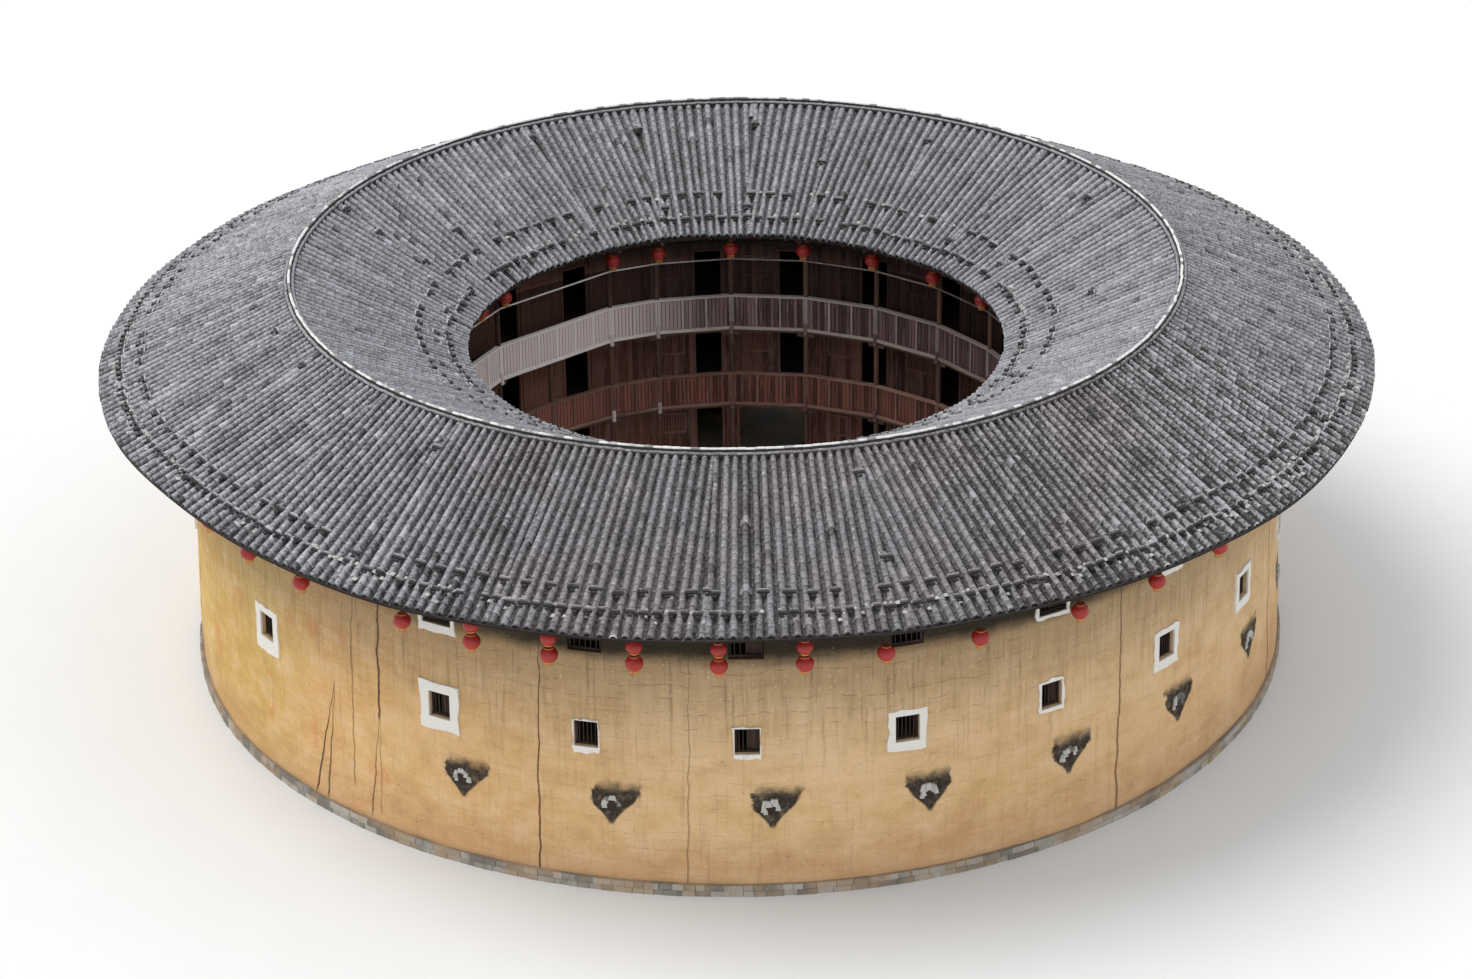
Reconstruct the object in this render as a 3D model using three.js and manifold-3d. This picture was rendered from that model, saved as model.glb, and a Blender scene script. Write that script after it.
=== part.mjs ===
// A three-storey rammed-earth roundhouse (tulou): a thick round earth wall on a stone footing, timber
// galleries round an open courtyard, and one ring roof with a long outer slope and a short inner one.
// Millimetres and degrees, +Z up, origin on the axis at ground level. A bearing is measured from the
// front (-Y) towards the right (+X).
import * as THREE from "three";
import { mergeVertices } from "three/addons/utils/BufferGeometryUtils.js";
import Module from "manifold-3d";

const wasm = await Module();
wasm.setup();

// Roof: the eave radii and heights are those of the tile tops
const EAVE_RADIUS = 19000;
const EAVE_TOP = 9290;
const RIDGE_RADIUS = 13230;
const RIDGE_TOP = 11900;
const INNER_EAVE_RADIUS = 8030;
const INNER_EAVE_TOP = 9330;
const ROOF_DEPTH = 240;
const RIDGE_CAP_HALF_WIDTH = 170;
const RIDGE_CAP_HEIGHT = 160;
const ROOF_SECTORS = 6;

// Earth wall and stone footing
const FOOTING_HEIGHT = 350;
const FOOTING_PROJECTION = 100;
const FOOTING_SECTORS = 6;
const WALL_FOOT_RADIUS = 16550;
const WALL_HEAD_RADIUS = 16400;
const WALL_INNER_RADIUS = 15350;

// Storeys: heights of the three floors' tops, and the edge of the ground floor at the yard
const GROUND_FLOOR = 250;
const GROUND_EDGE_RADIUS = 8710;
const SECOND_FLOOR = 3100;
const THIRD_FLOOR = 5800;
const FLOOR_DEPTH = 160;

// Bays in order from the first room's edge: four runs of rooms with a stair bay after each run, and the
// angles that the bays take
const FIRST_ROOM_EDGE = -37.7;
const RUNS = [
  { rooms: 8, roomBay: 15.3, stairBay: 5.6 },
  { rooms: 7, roomBay: 15.1, stairBay: 10 },
  { rooms: 4, roomBay: 14.1, stairBay: 7 },
  { rooms: 3, roomBay: 14.4, stairBay: 9.7 },
];
const GATE_ROOM = 13;

// The third storey's gallery has one long straight bay, which passes this room's first edge without a post
const LONG_BAY_ROOM = 16;

// Windows of the outer wall: one for each room on the second and third storeys, but none in the blind
// room on the second
const SECOND_WINDOW = { width: 700, height: 800, sill: SECOND_FLOOR + 1300 };
const THIRD_WINDOW = { width: 950, height: 850, sill: THIRD_FLOOR + 1500 };
const BLIND_ROOM = 20;

// Gateway: a granite lining of four sides in the wall
const GATE_WIDTH = 1700;
const GATE_HEAD = 2750;
const GATE_LINING = 250;
const GATE_PROJECTION = 50;

// Timber galleries
const POST = 180;
const POST_RADIUS = 9250;
const BEAM_RADIUS = 9200;
const BEAM_WIDTH = 150;
const BEAM_DEPTH = 200;
const BALUSTRADE_RADIUS = 9215;
const BALUSTRADE_THICKNESS = 50;
const SECOND_RAIL = 3990;
const THIRD_RAIL = 6740;
const ROOM_FRONT_RADIUS = 10650;
const ROOM_FRONT_THICKNESS = 60;
const DOOR_WIDTH = 850;
const DOOR_HEIGHT = 1900;
const DOOR_OFFSET = -650;
const HALL_WIDTH = 2300;
const HALL_HEIGHT = 2250;

// Eave timbers; a timber is let into the one that it meets by its housing
const INNER_PURLIN_RADIUS = 8380;
const OUTER_PURLIN_RADIUS = 18370;
const PURLIN = 120;
const PURLIN_DEPTH = 145;
const BRACKET_WIDTH = 120;
const BRACKET_DEPTH = 150;
const BRACKET_OVERHANG = 40;
const HOUSING = 20;

// Flat faces of a round ring, the joint left between pieces that touch, and how far cuts run past
const FACETS = 60;
const JOINT = 0.3;
const CLEAR = 500;
const BEYOND = 30000;

const outerSlope = (RIDGE_TOP - EAVE_TOP) / (EAVE_RADIUS - RIDGE_RADIUS);
const innerSlope = (RIDGE_TOP - INNER_EAVE_TOP) / (RIDGE_RADIUS - INNER_EAVE_RADIUS);
const outerSlab = (radius) => RIDGE_TOP - (radius - RIDGE_RADIUS) * outerSlope;
const innerSlab = (radius) => RIDGE_TOP - (RIDGE_RADIUS - radius) * innerSlope;
const radians = THREE.MathUtils.degToRad;

// A place on the plan, at a radius and a bearing
function planPoint(radius, bearing) {
  return new THREE.Vector2(radius * Math.sin(radians(bearing)), -radius * Math.cos(radians(bearing)));
}

// The bays in order round the building, each with its two edges and its middle
function layOutBays() {
  const bays = [];
  let edge = FIRST_ROOM_EDGE;
  const addBay = (kind, width) => {
    bays.push({ kind, from: edge, to: edge + width, middle: edge + width / 2 });
    edge += width;
  };
  for (const { rooms, roomBay, stairBay } of RUNS) {
    for (let i = 0; i < rooms; i++) addBay("room", roomBay);
    addBay("stair", stairBay);
  }
  return bays;
}

const bays = layOutBays();
const rooms = bays.filter((bay) => bay.kind === "room");
const gate = rooms[GATE_ROOM];
const topBays = bays.filter((bay) => bay !== rooms[LONG_BAY_ROOM]);

// How much nearer the middle of a bay's flat side lies than its edges: for the widest room, and the long bay
const flatness = (from, to) => Math.cos(radians(to - from) / 2);
const BAY_FLATNESS = flatness(rooms[0].from, rooms[0].to);
const LONG_BAY_FLATNESS = flatness(rooms[LONG_BAY_ROOM - 1].from, rooms[LONG_BAY_ROOM].to);

// A closed solid from any closed three.js geometry
function solidFrom(geometry) {
  const bare = geometry.clone();
  bare.deleteAttribute("normal");
  bare.deleteAttribute("uv");
  const merged = mergeVertices(bare, 1e-3);
  const faces = new Uint32Array(merged.index.array);
  const make = () =>
    new wasm.Manifold(
      new wasm.Mesh({ numProp: 3, vertProperties: merged.attributes.position.array, triVerts: faces }),
    );
  const solid = make();
  if (solid.volume() > 0) return solid;
  for (let i = 0; i < faces.length; i += 3) [faces[i], faces[i + 1]] = [faces[i + 1], faces[i]];
  return make();
}

// A round ring of FACETS flat faces, from a closed section of [radius, height] points
function roundRing(section) {
  const points = [...section, section[0]].map(([radius, height]) => new THREE.Vector2(radius, height));
  return solidFrom(new THREE.LatheGeometry(points, FACETS).rotateX(Math.PI / 2));
}

function roundOutline(radius) {
  return Array.from({ length: FACETS }, (_, i) => planPoint(radius, (i * 360) / FACETS));
}

// An outline with a corner at the first edge of each bay, as a post-and-beam gallery has
function bayOutline(radius, cornerBays = bays) {
  return cornerBays.map((bay) => planPoint(radius, bay.from));
}

// A flat plate between an outer outline and a hole, from one height to another
function plate(outer, hole, bottom, top) {
  const shape = new THREE.Shape(outer);
  shape.holes.push(new THREE.Path(hole));
  const geometry = new THREE.ExtrudeGeometry(shape, { depth: top - bottom, bevelEnabled: false });
  return solidFrom(geometry.translate(0, 0, bottom));
}

function bayRing(innerRadius, outerRadius, bottom, top, cornerBays = bays) {
  return plate(bayOutline(outerRadius, cornerBays), bayOutline(innerRadius, cornerBays), bottom, top);
}

// A block that stands square to a bearing, between two distances from the axis
function block(bearing, inner, outer, width, bottom, top, across = 0) {
  const geometry = new THREE.BoxGeometry(width, outer - inner, top - bottom);
  geometry.translate(across, -(inner + outer) / 2, (bottom + top) / 2);
  return solidFrom(geometry.rotateZ(radians(bearing)));
}

// The slice of space between two bearings, half a joint inside each
function slice(from, to) {
  const middle = (from + to) / 2;
  const apex = JOINT / 2 / Math.sin(radians(to - from) / 2);
  const start = planPoint(apex, middle);
  const corners = [from, middle, to].map((bearing) => planPoint(BEYOND, bearing).add(start));
  const geometry = new THREE.ExtrudeGeometry(new THREE.Shape([start, ...corners]), {
    depth: BEYOND,
    bevelEnabled: false,
  });
  return solidFrom(geometry);
}

function join(first, ...others) {
  return others.reduce((whole, other) => whole.add(other), first);
}

function cut(first, ...others) {
  return others.reduce((whole, other) => whole.subtract(other), first);
}

const house = new THREE.Group();

const finish = (color, roughness) =>
  new THREE.MeshStandardMaterial({ color, roughness, metalness: 0, flatShading: true });
const EARTH = finish(0xc4a074, 0.95);
const STONE = finish(0x8c877b, 0.9);
const TILE = finish(0x54524f, 0.85);
const RIDGE = finish(0xb9b6ae, 0.9);
const DARK_TIMBER = finish(0x4b2d20, 0.75);
const GREY_TIMBER = finish(0x6f5d50, 0.85);

function place(name, solid, material) {
  const { numProp, vertProperties, triVerts } = solid.getMesh();
  const positions = new Float32Array((vertProperties.length / numProp) * 3);
  for (let i = 0; i < positions.length / 3; i++) {
    positions.set(vertProperties.subarray(i * numProp, i * numProp + 3), i * 3);
  }
  const geometry = new THREE.BufferGeometry();
  geometry.setAttribute("position", new THREE.BufferAttribute(positions, 3));
  geometry.setIndex(new THREE.BufferAttribute(new Uint32Array(triVerts), 1));
  const mesh = new THREE.Mesh(geometry, material);
  mesh.name = name;
  house.add(mesh);
}

const numbered = (name, index) => `${name}_${String(index + 1).padStart(2, "0")}`;

// The gateway's lining, and the column of wall that stands over it, both as wide as the lining
const gateOuter = WALL_FOOT_RADIUS + FOOTING_PROJECTION + GATE_PROJECTION;
const gateTop = GATE_HEAD + GATE_LINING;
const gateSpan = GATE_WIDTH + 2 * GATE_LINING;

function gateColumn(margin, bottom) {
  const span = gateSpan + 2 * margin;
  return block(gate.middle, WALL_INNER_RADIUS - CLEAR, gateOuter + CLEAR, span, bottom, RIDGE_TOP);
}

function buildGate() {
  const whole = block(gate.middle, WALL_INNER_RADIUS, gateOuter, gateSpan, 0, gateTop);
  const passage = block(
    gate.middle,
    WALL_INNER_RADIUS - CLEAR,
    gateOuter + CLEAR,
    GATE_WIDTH,
    GROUND_FLOOR,
    GATE_HEAD,
  );
  place("gate_surround", cut(whole, passage), STONE);
}

function buildFooting() {
  const outer = WALL_FOOT_RADIUS + FOOTING_PROJECTION;
  const ring = roundRing([
    [WALL_INNER_RADIUS, 0],
    [outer, 0],
    [outer, FOOTING_HEIGHT],
    [WALL_INNER_RADIUS, FOOTING_HEIGHT],
  ]);
  const flanks = cut(ring, gateColumn(JOINT, -CLEAR));
  const width = 360 / FOOTING_SECTORS;
  for (let i = 0; i < FOOTING_SECTORS; i++) {
    const start = gate.middle + i * width;
    place(numbered("stone_footing", i), flanks.intersect(slice(start, start + width)), STONE);
  }
}

// The whole earth wall before it is cut, with a margin added to its outside
function wallBody(margin) {
  const foot = FOOTING_HEIGHT + JOINT;
  const head = (radius) => outerSlab(radius) - ROOF_DEPTH - JOINT;
  return roundRing([
    [WALL_INNER_RADIUS, foot],
    [WALL_FOOT_RADIUS + margin, foot],
    [WALL_HEAD_RADIUS + margin, head(WALL_HEAD_RADIUS)],
    [WALL_INNER_RADIUS, head(WALL_INNER_RADIUS)],
  ]);
}

// The wall's segments meet at the middles of the windows, and the gate stands where one pair meets
function buildWall() {
  const inner = WALL_INNER_RADIUS - CLEAR;
  const outer = WALL_FOOT_RADIUS + CLEAR;
  const windowIn = (room, { width, height, sill }) =>
    block(room.middle, inner, outer, width, sill, sill + height);
  const windows = [
    ...rooms.filter((_, i) => i !== BLIND_ROOM).map((room) => windowIn(room, SECOND_WINDOW)),
    ...rooms.map((room) => windowIn(room, THIRD_WINDOW)),
  ];
  const wall = cut(wallBody(0), ...windows);
  place("wall_over_gate", wall.intersect(gateColumn(0, gateTop + JOINT)), EARTH);
  const flanks = cut(wall, gateColumn(JOINT, -CLEAR));
  rooms.forEach(({ middle }, i) => {
    const next = rooms[i + 1]?.middle ?? rooms[0].middle + 360;
    place(numbered("outer_wall", i), flanks.intersect(slice(middle, next)), EARTH);
  });
}

function buildRoof() {
  const ridgeJoint = RIDGE_RADIUS - JOINT;
  const outer = roundRing([
    [EAVE_RADIUS, EAVE_TOP],
    [RIDGE_RADIUS, RIDGE_TOP],
    [RIDGE_RADIUS, RIDGE_TOP - ROOF_DEPTH],
    [EAVE_RADIUS, EAVE_TOP - ROOF_DEPTH],
  ]);
  const inner = roundRing([
    [ridgeJoint, innerSlab(ridgeJoint)],
    [INNER_EAVE_RADIUS, INNER_EAVE_TOP],
    [INNER_EAVE_RADIUS, INNER_EAVE_TOP - ROOF_DEPTH],
    [ridgeJoint, innerSlab(ridgeJoint) - ROOF_DEPTH],
  ]);
  const width = 360 / ROOF_SECTORS;
  for (let i = 0; i < ROOF_SECTORS; i++) {
    const sector = slice(i * width, (i + 1) * width);
    place(numbered("roof_outer_slope", i), outer.intersect(sector), TILE);
    place(numbered("roof_inner_slope", i), inner.intersect(sector), TILE);
  }
}

function buildRidgeCap() {
  const out = RIDGE_RADIUS + RIDGE_CAP_HALF_WIDTH;
  const back = RIDGE_RADIUS - RIDGE_CAP_HALF_WIDTH;
  const cap = roundRing([
    [out, outerSlab(out) + JOINT],
    [out, RIDGE_TOP + RIDGE_CAP_HEIGHT],
    [back, RIDGE_TOP + RIDGE_CAP_HEIGHT],
    [back, innerSlab(back) + JOINT],
    [RIDGE_RADIUS, RIDGE_TOP + JOINT],
  ]);
  place("ridge_cap", cap, RIDGE);
}

// Cantilevered timbers at the bay edges, and the round purlin that they carry under the eave
function buildOuterEave() {
  const top = outerSlab(OUTER_PURLIN_RADIUS) - ROOF_DEPTH - JOINT;
  const bottom = top - PURLIN_DEPTH;
  const inner = OUTER_PURLIN_RADIUS - PURLIN;
  const purlin = roundRing([
    [inner, bottom],
    [OUTER_PURLIN_RADIUS, bottom],
    [OUTER_PURLIN_RADIUS, top],
    [inner, top],
  ]);
  const brackets = bays.map((bay) =>
    block(
      bay.from,
      WALL_INNER_RADIUS + CLEAR,
      OUTER_PURLIN_RADIUS,
      BRACKET_WIDTH,
      bottom + HOUSING - BRACKET_DEPTH,
      bottom + HOUSING,
    ),
  );
  place("outer_eave_frame", cut(join(purlin, ...brackets), wallBody(JOINT)), DARK_TIMBER);
}

// Stone ring under the rooms and the walkway, with the courtyard left open
function buildGroundFloor() {
  const outline = roundOutline(WALL_INNER_RADIUS - JOINT);
  place("ground_floor", plate(outline, bayOutline(GROUND_EDGE_RADIUS), 0, GROUND_FLOOR), STONE);
}

function buildFloor(name, top, cornerBays) {
  const outline = roundOutline(WALL_INNER_RADIUS - JOINT);
  const hole = bayOutline(BEAM_RADIUS, cornerBays);
  place(name, plate(outline, hole, top - FLOOR_DEPTH, top), DARK_TIMBER);
}

const balustrade = (bottom, top, margin, cornerBays) =>
  bayRing(
    BALUSTRADE_RADIUS - margin,
    BALUSTRADE_RADIUS + BALUSTRADE_THICKNESS + margin,
    bottom,
    top + margin,
    cornerBays,
  );

// Posts with a ring beam on their heads; rail is the height of the balustrade that they are housed round
function buildGalleryFrame(name, floor, head, rail, cornerBays) {
  const foot = floor + JOINT;
  const beamFoot = head - BEAM_DEPTH;
  const beam = bayRing(BEAM_RADIUS, BEAM_RADIUS + BEAM_WIDTH, beamFoot, head, cornerBays);
  const posts = cornerBays.map((bay) =>
    block(bay.from, POST_RADIUS - POST / 2, POST_RADIUS + POST / 2, POST, foot, beamFoot + HOUSING),
  );
  const whole = join(beam, ...posts);
  const housed = rail ? cut(whole, balustrade(floor - CLEAR, rail, JOINT, cornerBays)) : whole;
  place(name, housed, DARK_TIMBER);
}

// Brackets from the top storey's posts, and the purlin that they carry under the inner eave
function buildInnerEave() {
  const purlinTop = innerSlab(INNER_PURLIN_RADIUS * BAY_FLATNESS) - ROOF_DEPTH - 2 * JOINT;
  const purlinFoot = purlinTop - PURLIN_DEPTH;
  const purlin = bayRing(INNER_PURLIN_RADIUS, INNER_PURLIN_RADIUS + PURLIN, purlinFoot, purlinTop);
  const brackets = topBays.map((bay) =>
    block(
      bay.from,
      INNER_PURLIN_RADIUS - BRACKET_OVERHANG,
      POST_RADIUS - POST / 2 - JOINT,
      BRACKET_WIDTH,
      purlinFoot + HOUSING - BRACKET_DEPTH,
      purlinFoot + HOUSING,
    ),
  );
  place("inner_eave_frame", join(purlin, ...brackets), DARK_TIMBER);
}

function buildGalleries() {
  const roofOverBeam = innerSlab(BEAM_RADIUS * LONG_BAY_FLATNESS) - ROOF_DEPTH - 2 * JOINT;
  const groundHead = SECOND_FLOOR - FLOOR_DEPTH - JOINT;
  const secondHead = THIRD_FLOOR - FLOOR_DEPTH - JOINT;
  buildGalleryFrame("gallery_frame_ground", GROUND_FLOOR, groundHead, 0, bays);
  buildGalleryFrame("gallery_frame_second", SECOND_FLOOR, secondHead, SECOND_RAIL, bays);
  buildGalleryFrame("gallery_frame_third", THIRD_FLOOR, roofOverBeam, THIRD_RAIL, topBays);
  place("balustrade_second", balustrade(SECOND_FLOOR + JOINT, SECOND_RAIL, 0, bays), DARK_TIMBER);
  place("balustrade_third", balustrade(THIRD_FLOOR + JOINT, THIRD_RAIL, 0, topBays), GREY_TIMBER);
}

// Timber fronts of the rooms, with a doorway in each room bay and an open hall behind the gate
function buildRoomFront(name, floor, head, hall) {
  const outer = ROOM_FRONT_RADIUS + ROOM_FRONT_THICKNESS;
  const ring = bayRing(ROOM_FRONT_RADIUS, outer, floor + JOINT, head);
  const opening = (room, width, height, across) =>
    block(
      room.middle,
      ROOM_FRONT_RADIUS - CLEAR,
      outer + CLEAR,
      width,
      floor - CLEAR,
      floor + height,
      across,
    );
  const openings = rooms.map((room) =>
    hall && room === gate
      ? opening(room, HALL_WIDTH, HALL_HEIGHT, 0)
      : opening(room, DOOR_WIDTH, DOOR_HEIGHT, DOOR_OFFSET),
  );
  place(name, cut(ring, ...openings), DARK_TIMBER);
}

function buildRoomFronts() {
  const roofOverFront = innerSlab(ROOM_FRONT_RADIUS * BAY_FLATNESS) - ROOF_DEPTH - 2 * JOINT;
  buildRoomFront("room_front_ground", GROUND_FLOOR, SECOND_FLOOR - FLOOR_DEPTH - JOINT, true);
  buildRoomFront("room_front_second", SECOND_FLOOR, THIRD_FLOOR - FLOOR_DEPTH - JOINT, false);
  buildRoomFront("room_front_third", THIRD_FLOOR, roofOverFront, false);
}

buildFooting();
buildWall();
buildGate();
buildGroundFloor();
buildFloor("floor_second", SECOND_FLOOR, bays);
buildFloor("floor_third", THIRD_FLOOR, topBays);
buildGalleries();
buildInnerEave();
buildRoomFronts();
buildRoof();
buildRidgeCap();
buildOuterEave();

export default house;
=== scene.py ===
"""Looks of a round earth house: tiled ring roof, rammed-earth wall, timber galleries and lanterns.

Metres, +Z up. A bearing is in degrees, from the front (-Y) towards the right (+X).
"""
import math
from collections import namedtuple

import bpy
import numpy as np
from mathutils import Matrix, Vector


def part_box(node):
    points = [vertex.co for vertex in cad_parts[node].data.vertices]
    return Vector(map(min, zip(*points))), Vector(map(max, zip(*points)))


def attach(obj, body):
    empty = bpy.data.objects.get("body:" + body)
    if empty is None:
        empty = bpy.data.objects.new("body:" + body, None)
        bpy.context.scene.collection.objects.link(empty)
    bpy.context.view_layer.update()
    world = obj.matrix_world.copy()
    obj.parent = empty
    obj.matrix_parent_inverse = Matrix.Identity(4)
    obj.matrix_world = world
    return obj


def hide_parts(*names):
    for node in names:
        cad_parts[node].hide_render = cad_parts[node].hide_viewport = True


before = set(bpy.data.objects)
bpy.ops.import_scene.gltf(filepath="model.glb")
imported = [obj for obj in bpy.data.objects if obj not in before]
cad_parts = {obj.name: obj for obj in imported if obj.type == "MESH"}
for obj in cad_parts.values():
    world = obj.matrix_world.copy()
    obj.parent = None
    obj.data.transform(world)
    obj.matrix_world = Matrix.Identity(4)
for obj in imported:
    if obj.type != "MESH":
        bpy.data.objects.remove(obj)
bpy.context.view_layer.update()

rng = np.random.default_rng(7)

# Roof: its rings, the ridge and depth of its CAD slabs, and how far above them the tiles lie
EAVE_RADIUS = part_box("roof_outer_slope_02")[1].x
RIDGE_RADIUS = 13.23
INNER_EAVE_RADIUS = 8.03
SLAB_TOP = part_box("roof_outer_slope_01")[1].z
ROOF_DEPTH = 0.24
TILE_BED = -0.05
SECTORS = 6

# Waves of the roof: how many round the house, start and height, and how far from the ridge they are full
ROOF_WAVES = ((4, 0.6, 0.035), (9, 2, 0.025), (17, 1, 0.018))
OUTER_REACH = 5.8
INNER_REACH = 7.5

# The outer eave stands this much higher at its front left, over this many degrees to each side
EAVE_LIFT = 0.27
LIFTED_BEARING = -56
LIFT_WIDTH = 12

# Earth wall and its footing
WALL_INNER_RADIUS = 15.35
WALL_FOOT_RADIUS = 16.54
WALL_HEAD_RADIUS = 16.39
FOOTING_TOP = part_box("stone_footing_05")[1].z
FOOTING_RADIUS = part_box("stone_footing_05")[1].x
WALL_TOP = 10.2
LIFTS_PER_METRE = 2.4

# Swells of the wall's face: how many round the house, turn with height, start, and how far they stand out
WALL_SWELLS = ((5, 1.1, 0, 0.018), (11, -1.7, 1, 0.012), (23, 2.9, 0, 0.008), (61, 5, 0, 0.005))

# Storeys
GROUND_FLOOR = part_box("ground_floor")[1].z
SECOND_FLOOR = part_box("floor_second")[1].z
THIRD_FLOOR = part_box("floor_third")[1].z
FLOOR_DEPTH = 0.16

# Galleries
POST_RADIUS = 9.25
BEAM_RADIUS = 9.2
BALUSTRADE_RADIUS = 9.24
FRONT_RADIUS = 10.65
FRONT_DEPTH = 0.06
JOISTS = 78
JOIST_RADIUS = 9.4
DROP_LENGTH = 0.42

# Runs of rooms from the first edge on: number of rooms, a room's angle, and that of the stair bay after it
FIRST_ROOM_EDGE = -37.7
RUNS = ((8, 15.3, 5.6), (7, 15.1, 10.0), (4, 14.1, 7.0), (3, 14.4, 9.7))
GATE_ROOM = 13

# The third storey's gallery has no post at this room's first edge
LONG_BAY_ROOM = 16

# The second storey's room without a window, on the left
BLIND_ROOM = 20

# Gate opening, with its stone lining
GATE_SPAN = 2.2
GATE_TOP = 3.0

# Kitchen vents, this many degrees past the middle of each room
VENT_OFFSET = 2.3
VENT_HEIGHT = 2.68


def lay_out_bays():
    """The bays as (from, to, kind), in order round the house."""
    found, edge = [], FIRST_ROOM_EDGE
    for rooms, room_bay, stair_bay in RUNS:
        for width, kind in [(room_bay, "room")] * rooms + [(stair_bay, "stair")]:
            found.append((edge, edge + width, kind))
            edge += width
    return found


bays = lay_out_bays()
spans = [bay[:2] for bay in bays]
bay_edges = np.array([start for start, _ in spans])
bay_middles = np.array([(start + end) / 2 for start, end in spans])
room_bays = [bay for bay in bays if bay[2] == "room"]
room_middles = np.array([(start + end) / 2 for start, end, _ in room_bays])

# Plaster round the windows that the photograph shows, by room: its width left, right, above and below
SECOND_SURROUNDS = {
    0: (0.3, 0.27, 0.27, 0.36),
    1: (0.04, 0.02, 0.02, 0.2),
    2: (0.05, 0.03, 0.03, 0.13),
    21: (0.28, 0.26, 0.2, 0.42),
}
THIRD_SURROUNDS = {0: (0.14, 0.12, 0.12, 0.26), 1: None, 2: None, 3: None}

# Windows of the wall by storey, from the second, with the rooms that have one
Window = namedtuple("Window", "width sill head rooms surrounds")
all_rooms = list(range(len(room_bays)))
WINDOWS = (
    Window(0.7, 4.4, 5.2, [room for room in all_rooms if room != BLIND_ROOM], SECOND_SURROUNDS),
    Window(0.95, 7.3, 8.15, all_rooms, THIRD_SURROUNDS),
)

# The third storey's gallery: its post bearings, and its bays as (from, to)
top_edges = bay_edges[bay_edges != room_bays[LONG_BAY_ROOM][0]]
top_spans = list(zip(top_edges, np.append(top_edges[1:], top_edges[0] + 360)))

# Storeys: name, floor, the ceiling under the next floor, and the gallery's post bearings and bays
STOREYS = (
    ("ground", GROUND_FLOOR, SECOND_FLOOR - FLOOR_DEPTH, bay_edges, spans),
    ("second", SECOND_FLOOR, THIRD_FLOOR - FLOOR_DEPTH, bay_edges, spans),
    ("third", THIRD_FLOOR, None, top_edges, top_spans),
)


def place(radius, bearing, height):
    """Points at a radius, a bearing and a height."""
    turn = np.radians(bearing)
    return np.stack(np.broadcast_arrays(radius * np.sin(turn), -radius * np.cos(turn), height), -1)


def wall_radius(height):
    """The radius of the wall's battered face, without its swells."""
    share = (height - FOOTING_TOP) / (WALL_TOP - FOOTING_TOP)
    return WALL_FOOT_RADIUS + (WALL_HEAD_RADIUS - WALL_FOOT_RADIUS) * share


def flat_side(radius, start, end):
    """A ring's straight side between two bearings: its bearing, distance from the axis and length."""
    half = math.radians(end - start) / 2
    return (start + end) / 2, radius * math.cos(half), 2 * radius * math.sin(half)


def evenly(count):
    """Bearings spread evenly round the house."""
    return np.arange(count) * 360 / count


def gap_between(first, second):
    """The angle between bearings. It serves as well for heights, which are small beside a turn."""
    return np.abs((first - second + 180) % 360 - 180)


def settled(points):
    """Points of the roof moved with its slow ups and downs and its lifted part."""
    radius = np.hypot(points[..., 0], points[..., 1])
    turn = np.arctan2(points[..., 0], -points[..., 1])
    outward = radius > RIDGE_RADIUS
    reach = np.where(outward, (radius - RIDGE_RADIUS) / OUTER_REACH, (RIDGE_RADIUS - radius) / INNER_REACH)
    wave = sum(high * np.sin(count * turn + start) for count, start, high in ROOF_WAVES)
    wave += EAVE_LIFT * np.exp(-(((np.degrees(turn) - LIFTED_BEARING) / LIFT_WIDTH) ** 2)) * outward
    moved = points.copy()
    moved[..., 2] += wave * np.clip(reach, 0, 1) ** 1.5
    return moved


def grid_faces(rows, columns, closed_rows=False, closed_columns=False):
    """Quads of a grid of rows by columns points."""
    r = np.arange(rows if closed_rows else rows - 1)[:, None]
    c = np.arange(columns if closed_columns else columns - 1)[None, :]
    r2, c2 = (r + 1) % rows, (c + 1) % columns
    corners = (r * columns + c, r2 * columns + c, r2 * columns + c2, r * columns + c2)
    return np.stack(np.broadcast_arrays(*corners), -1).reshape(-1, 4)


def rectangle(near, far, bottom, top):
    """Four (across, height) points, anticlockwise."""
    return [(near, bottom), (far, bottom), (far, top), (near, top)]


def add_object(name, data):
    """An object in the scene."""
    made = bpy.data.objects.new(name, data)
    bpy.context.scene.collection.objects.link(made)
    return made


BOX_FACES = np.array([[0, 1, 2, 3], [7, 6, 5, 4], [0, 4, 5, 1], [1, 5, 6, 2], [2, 6, 7, 3], [3, 7, 4, 0]])


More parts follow.
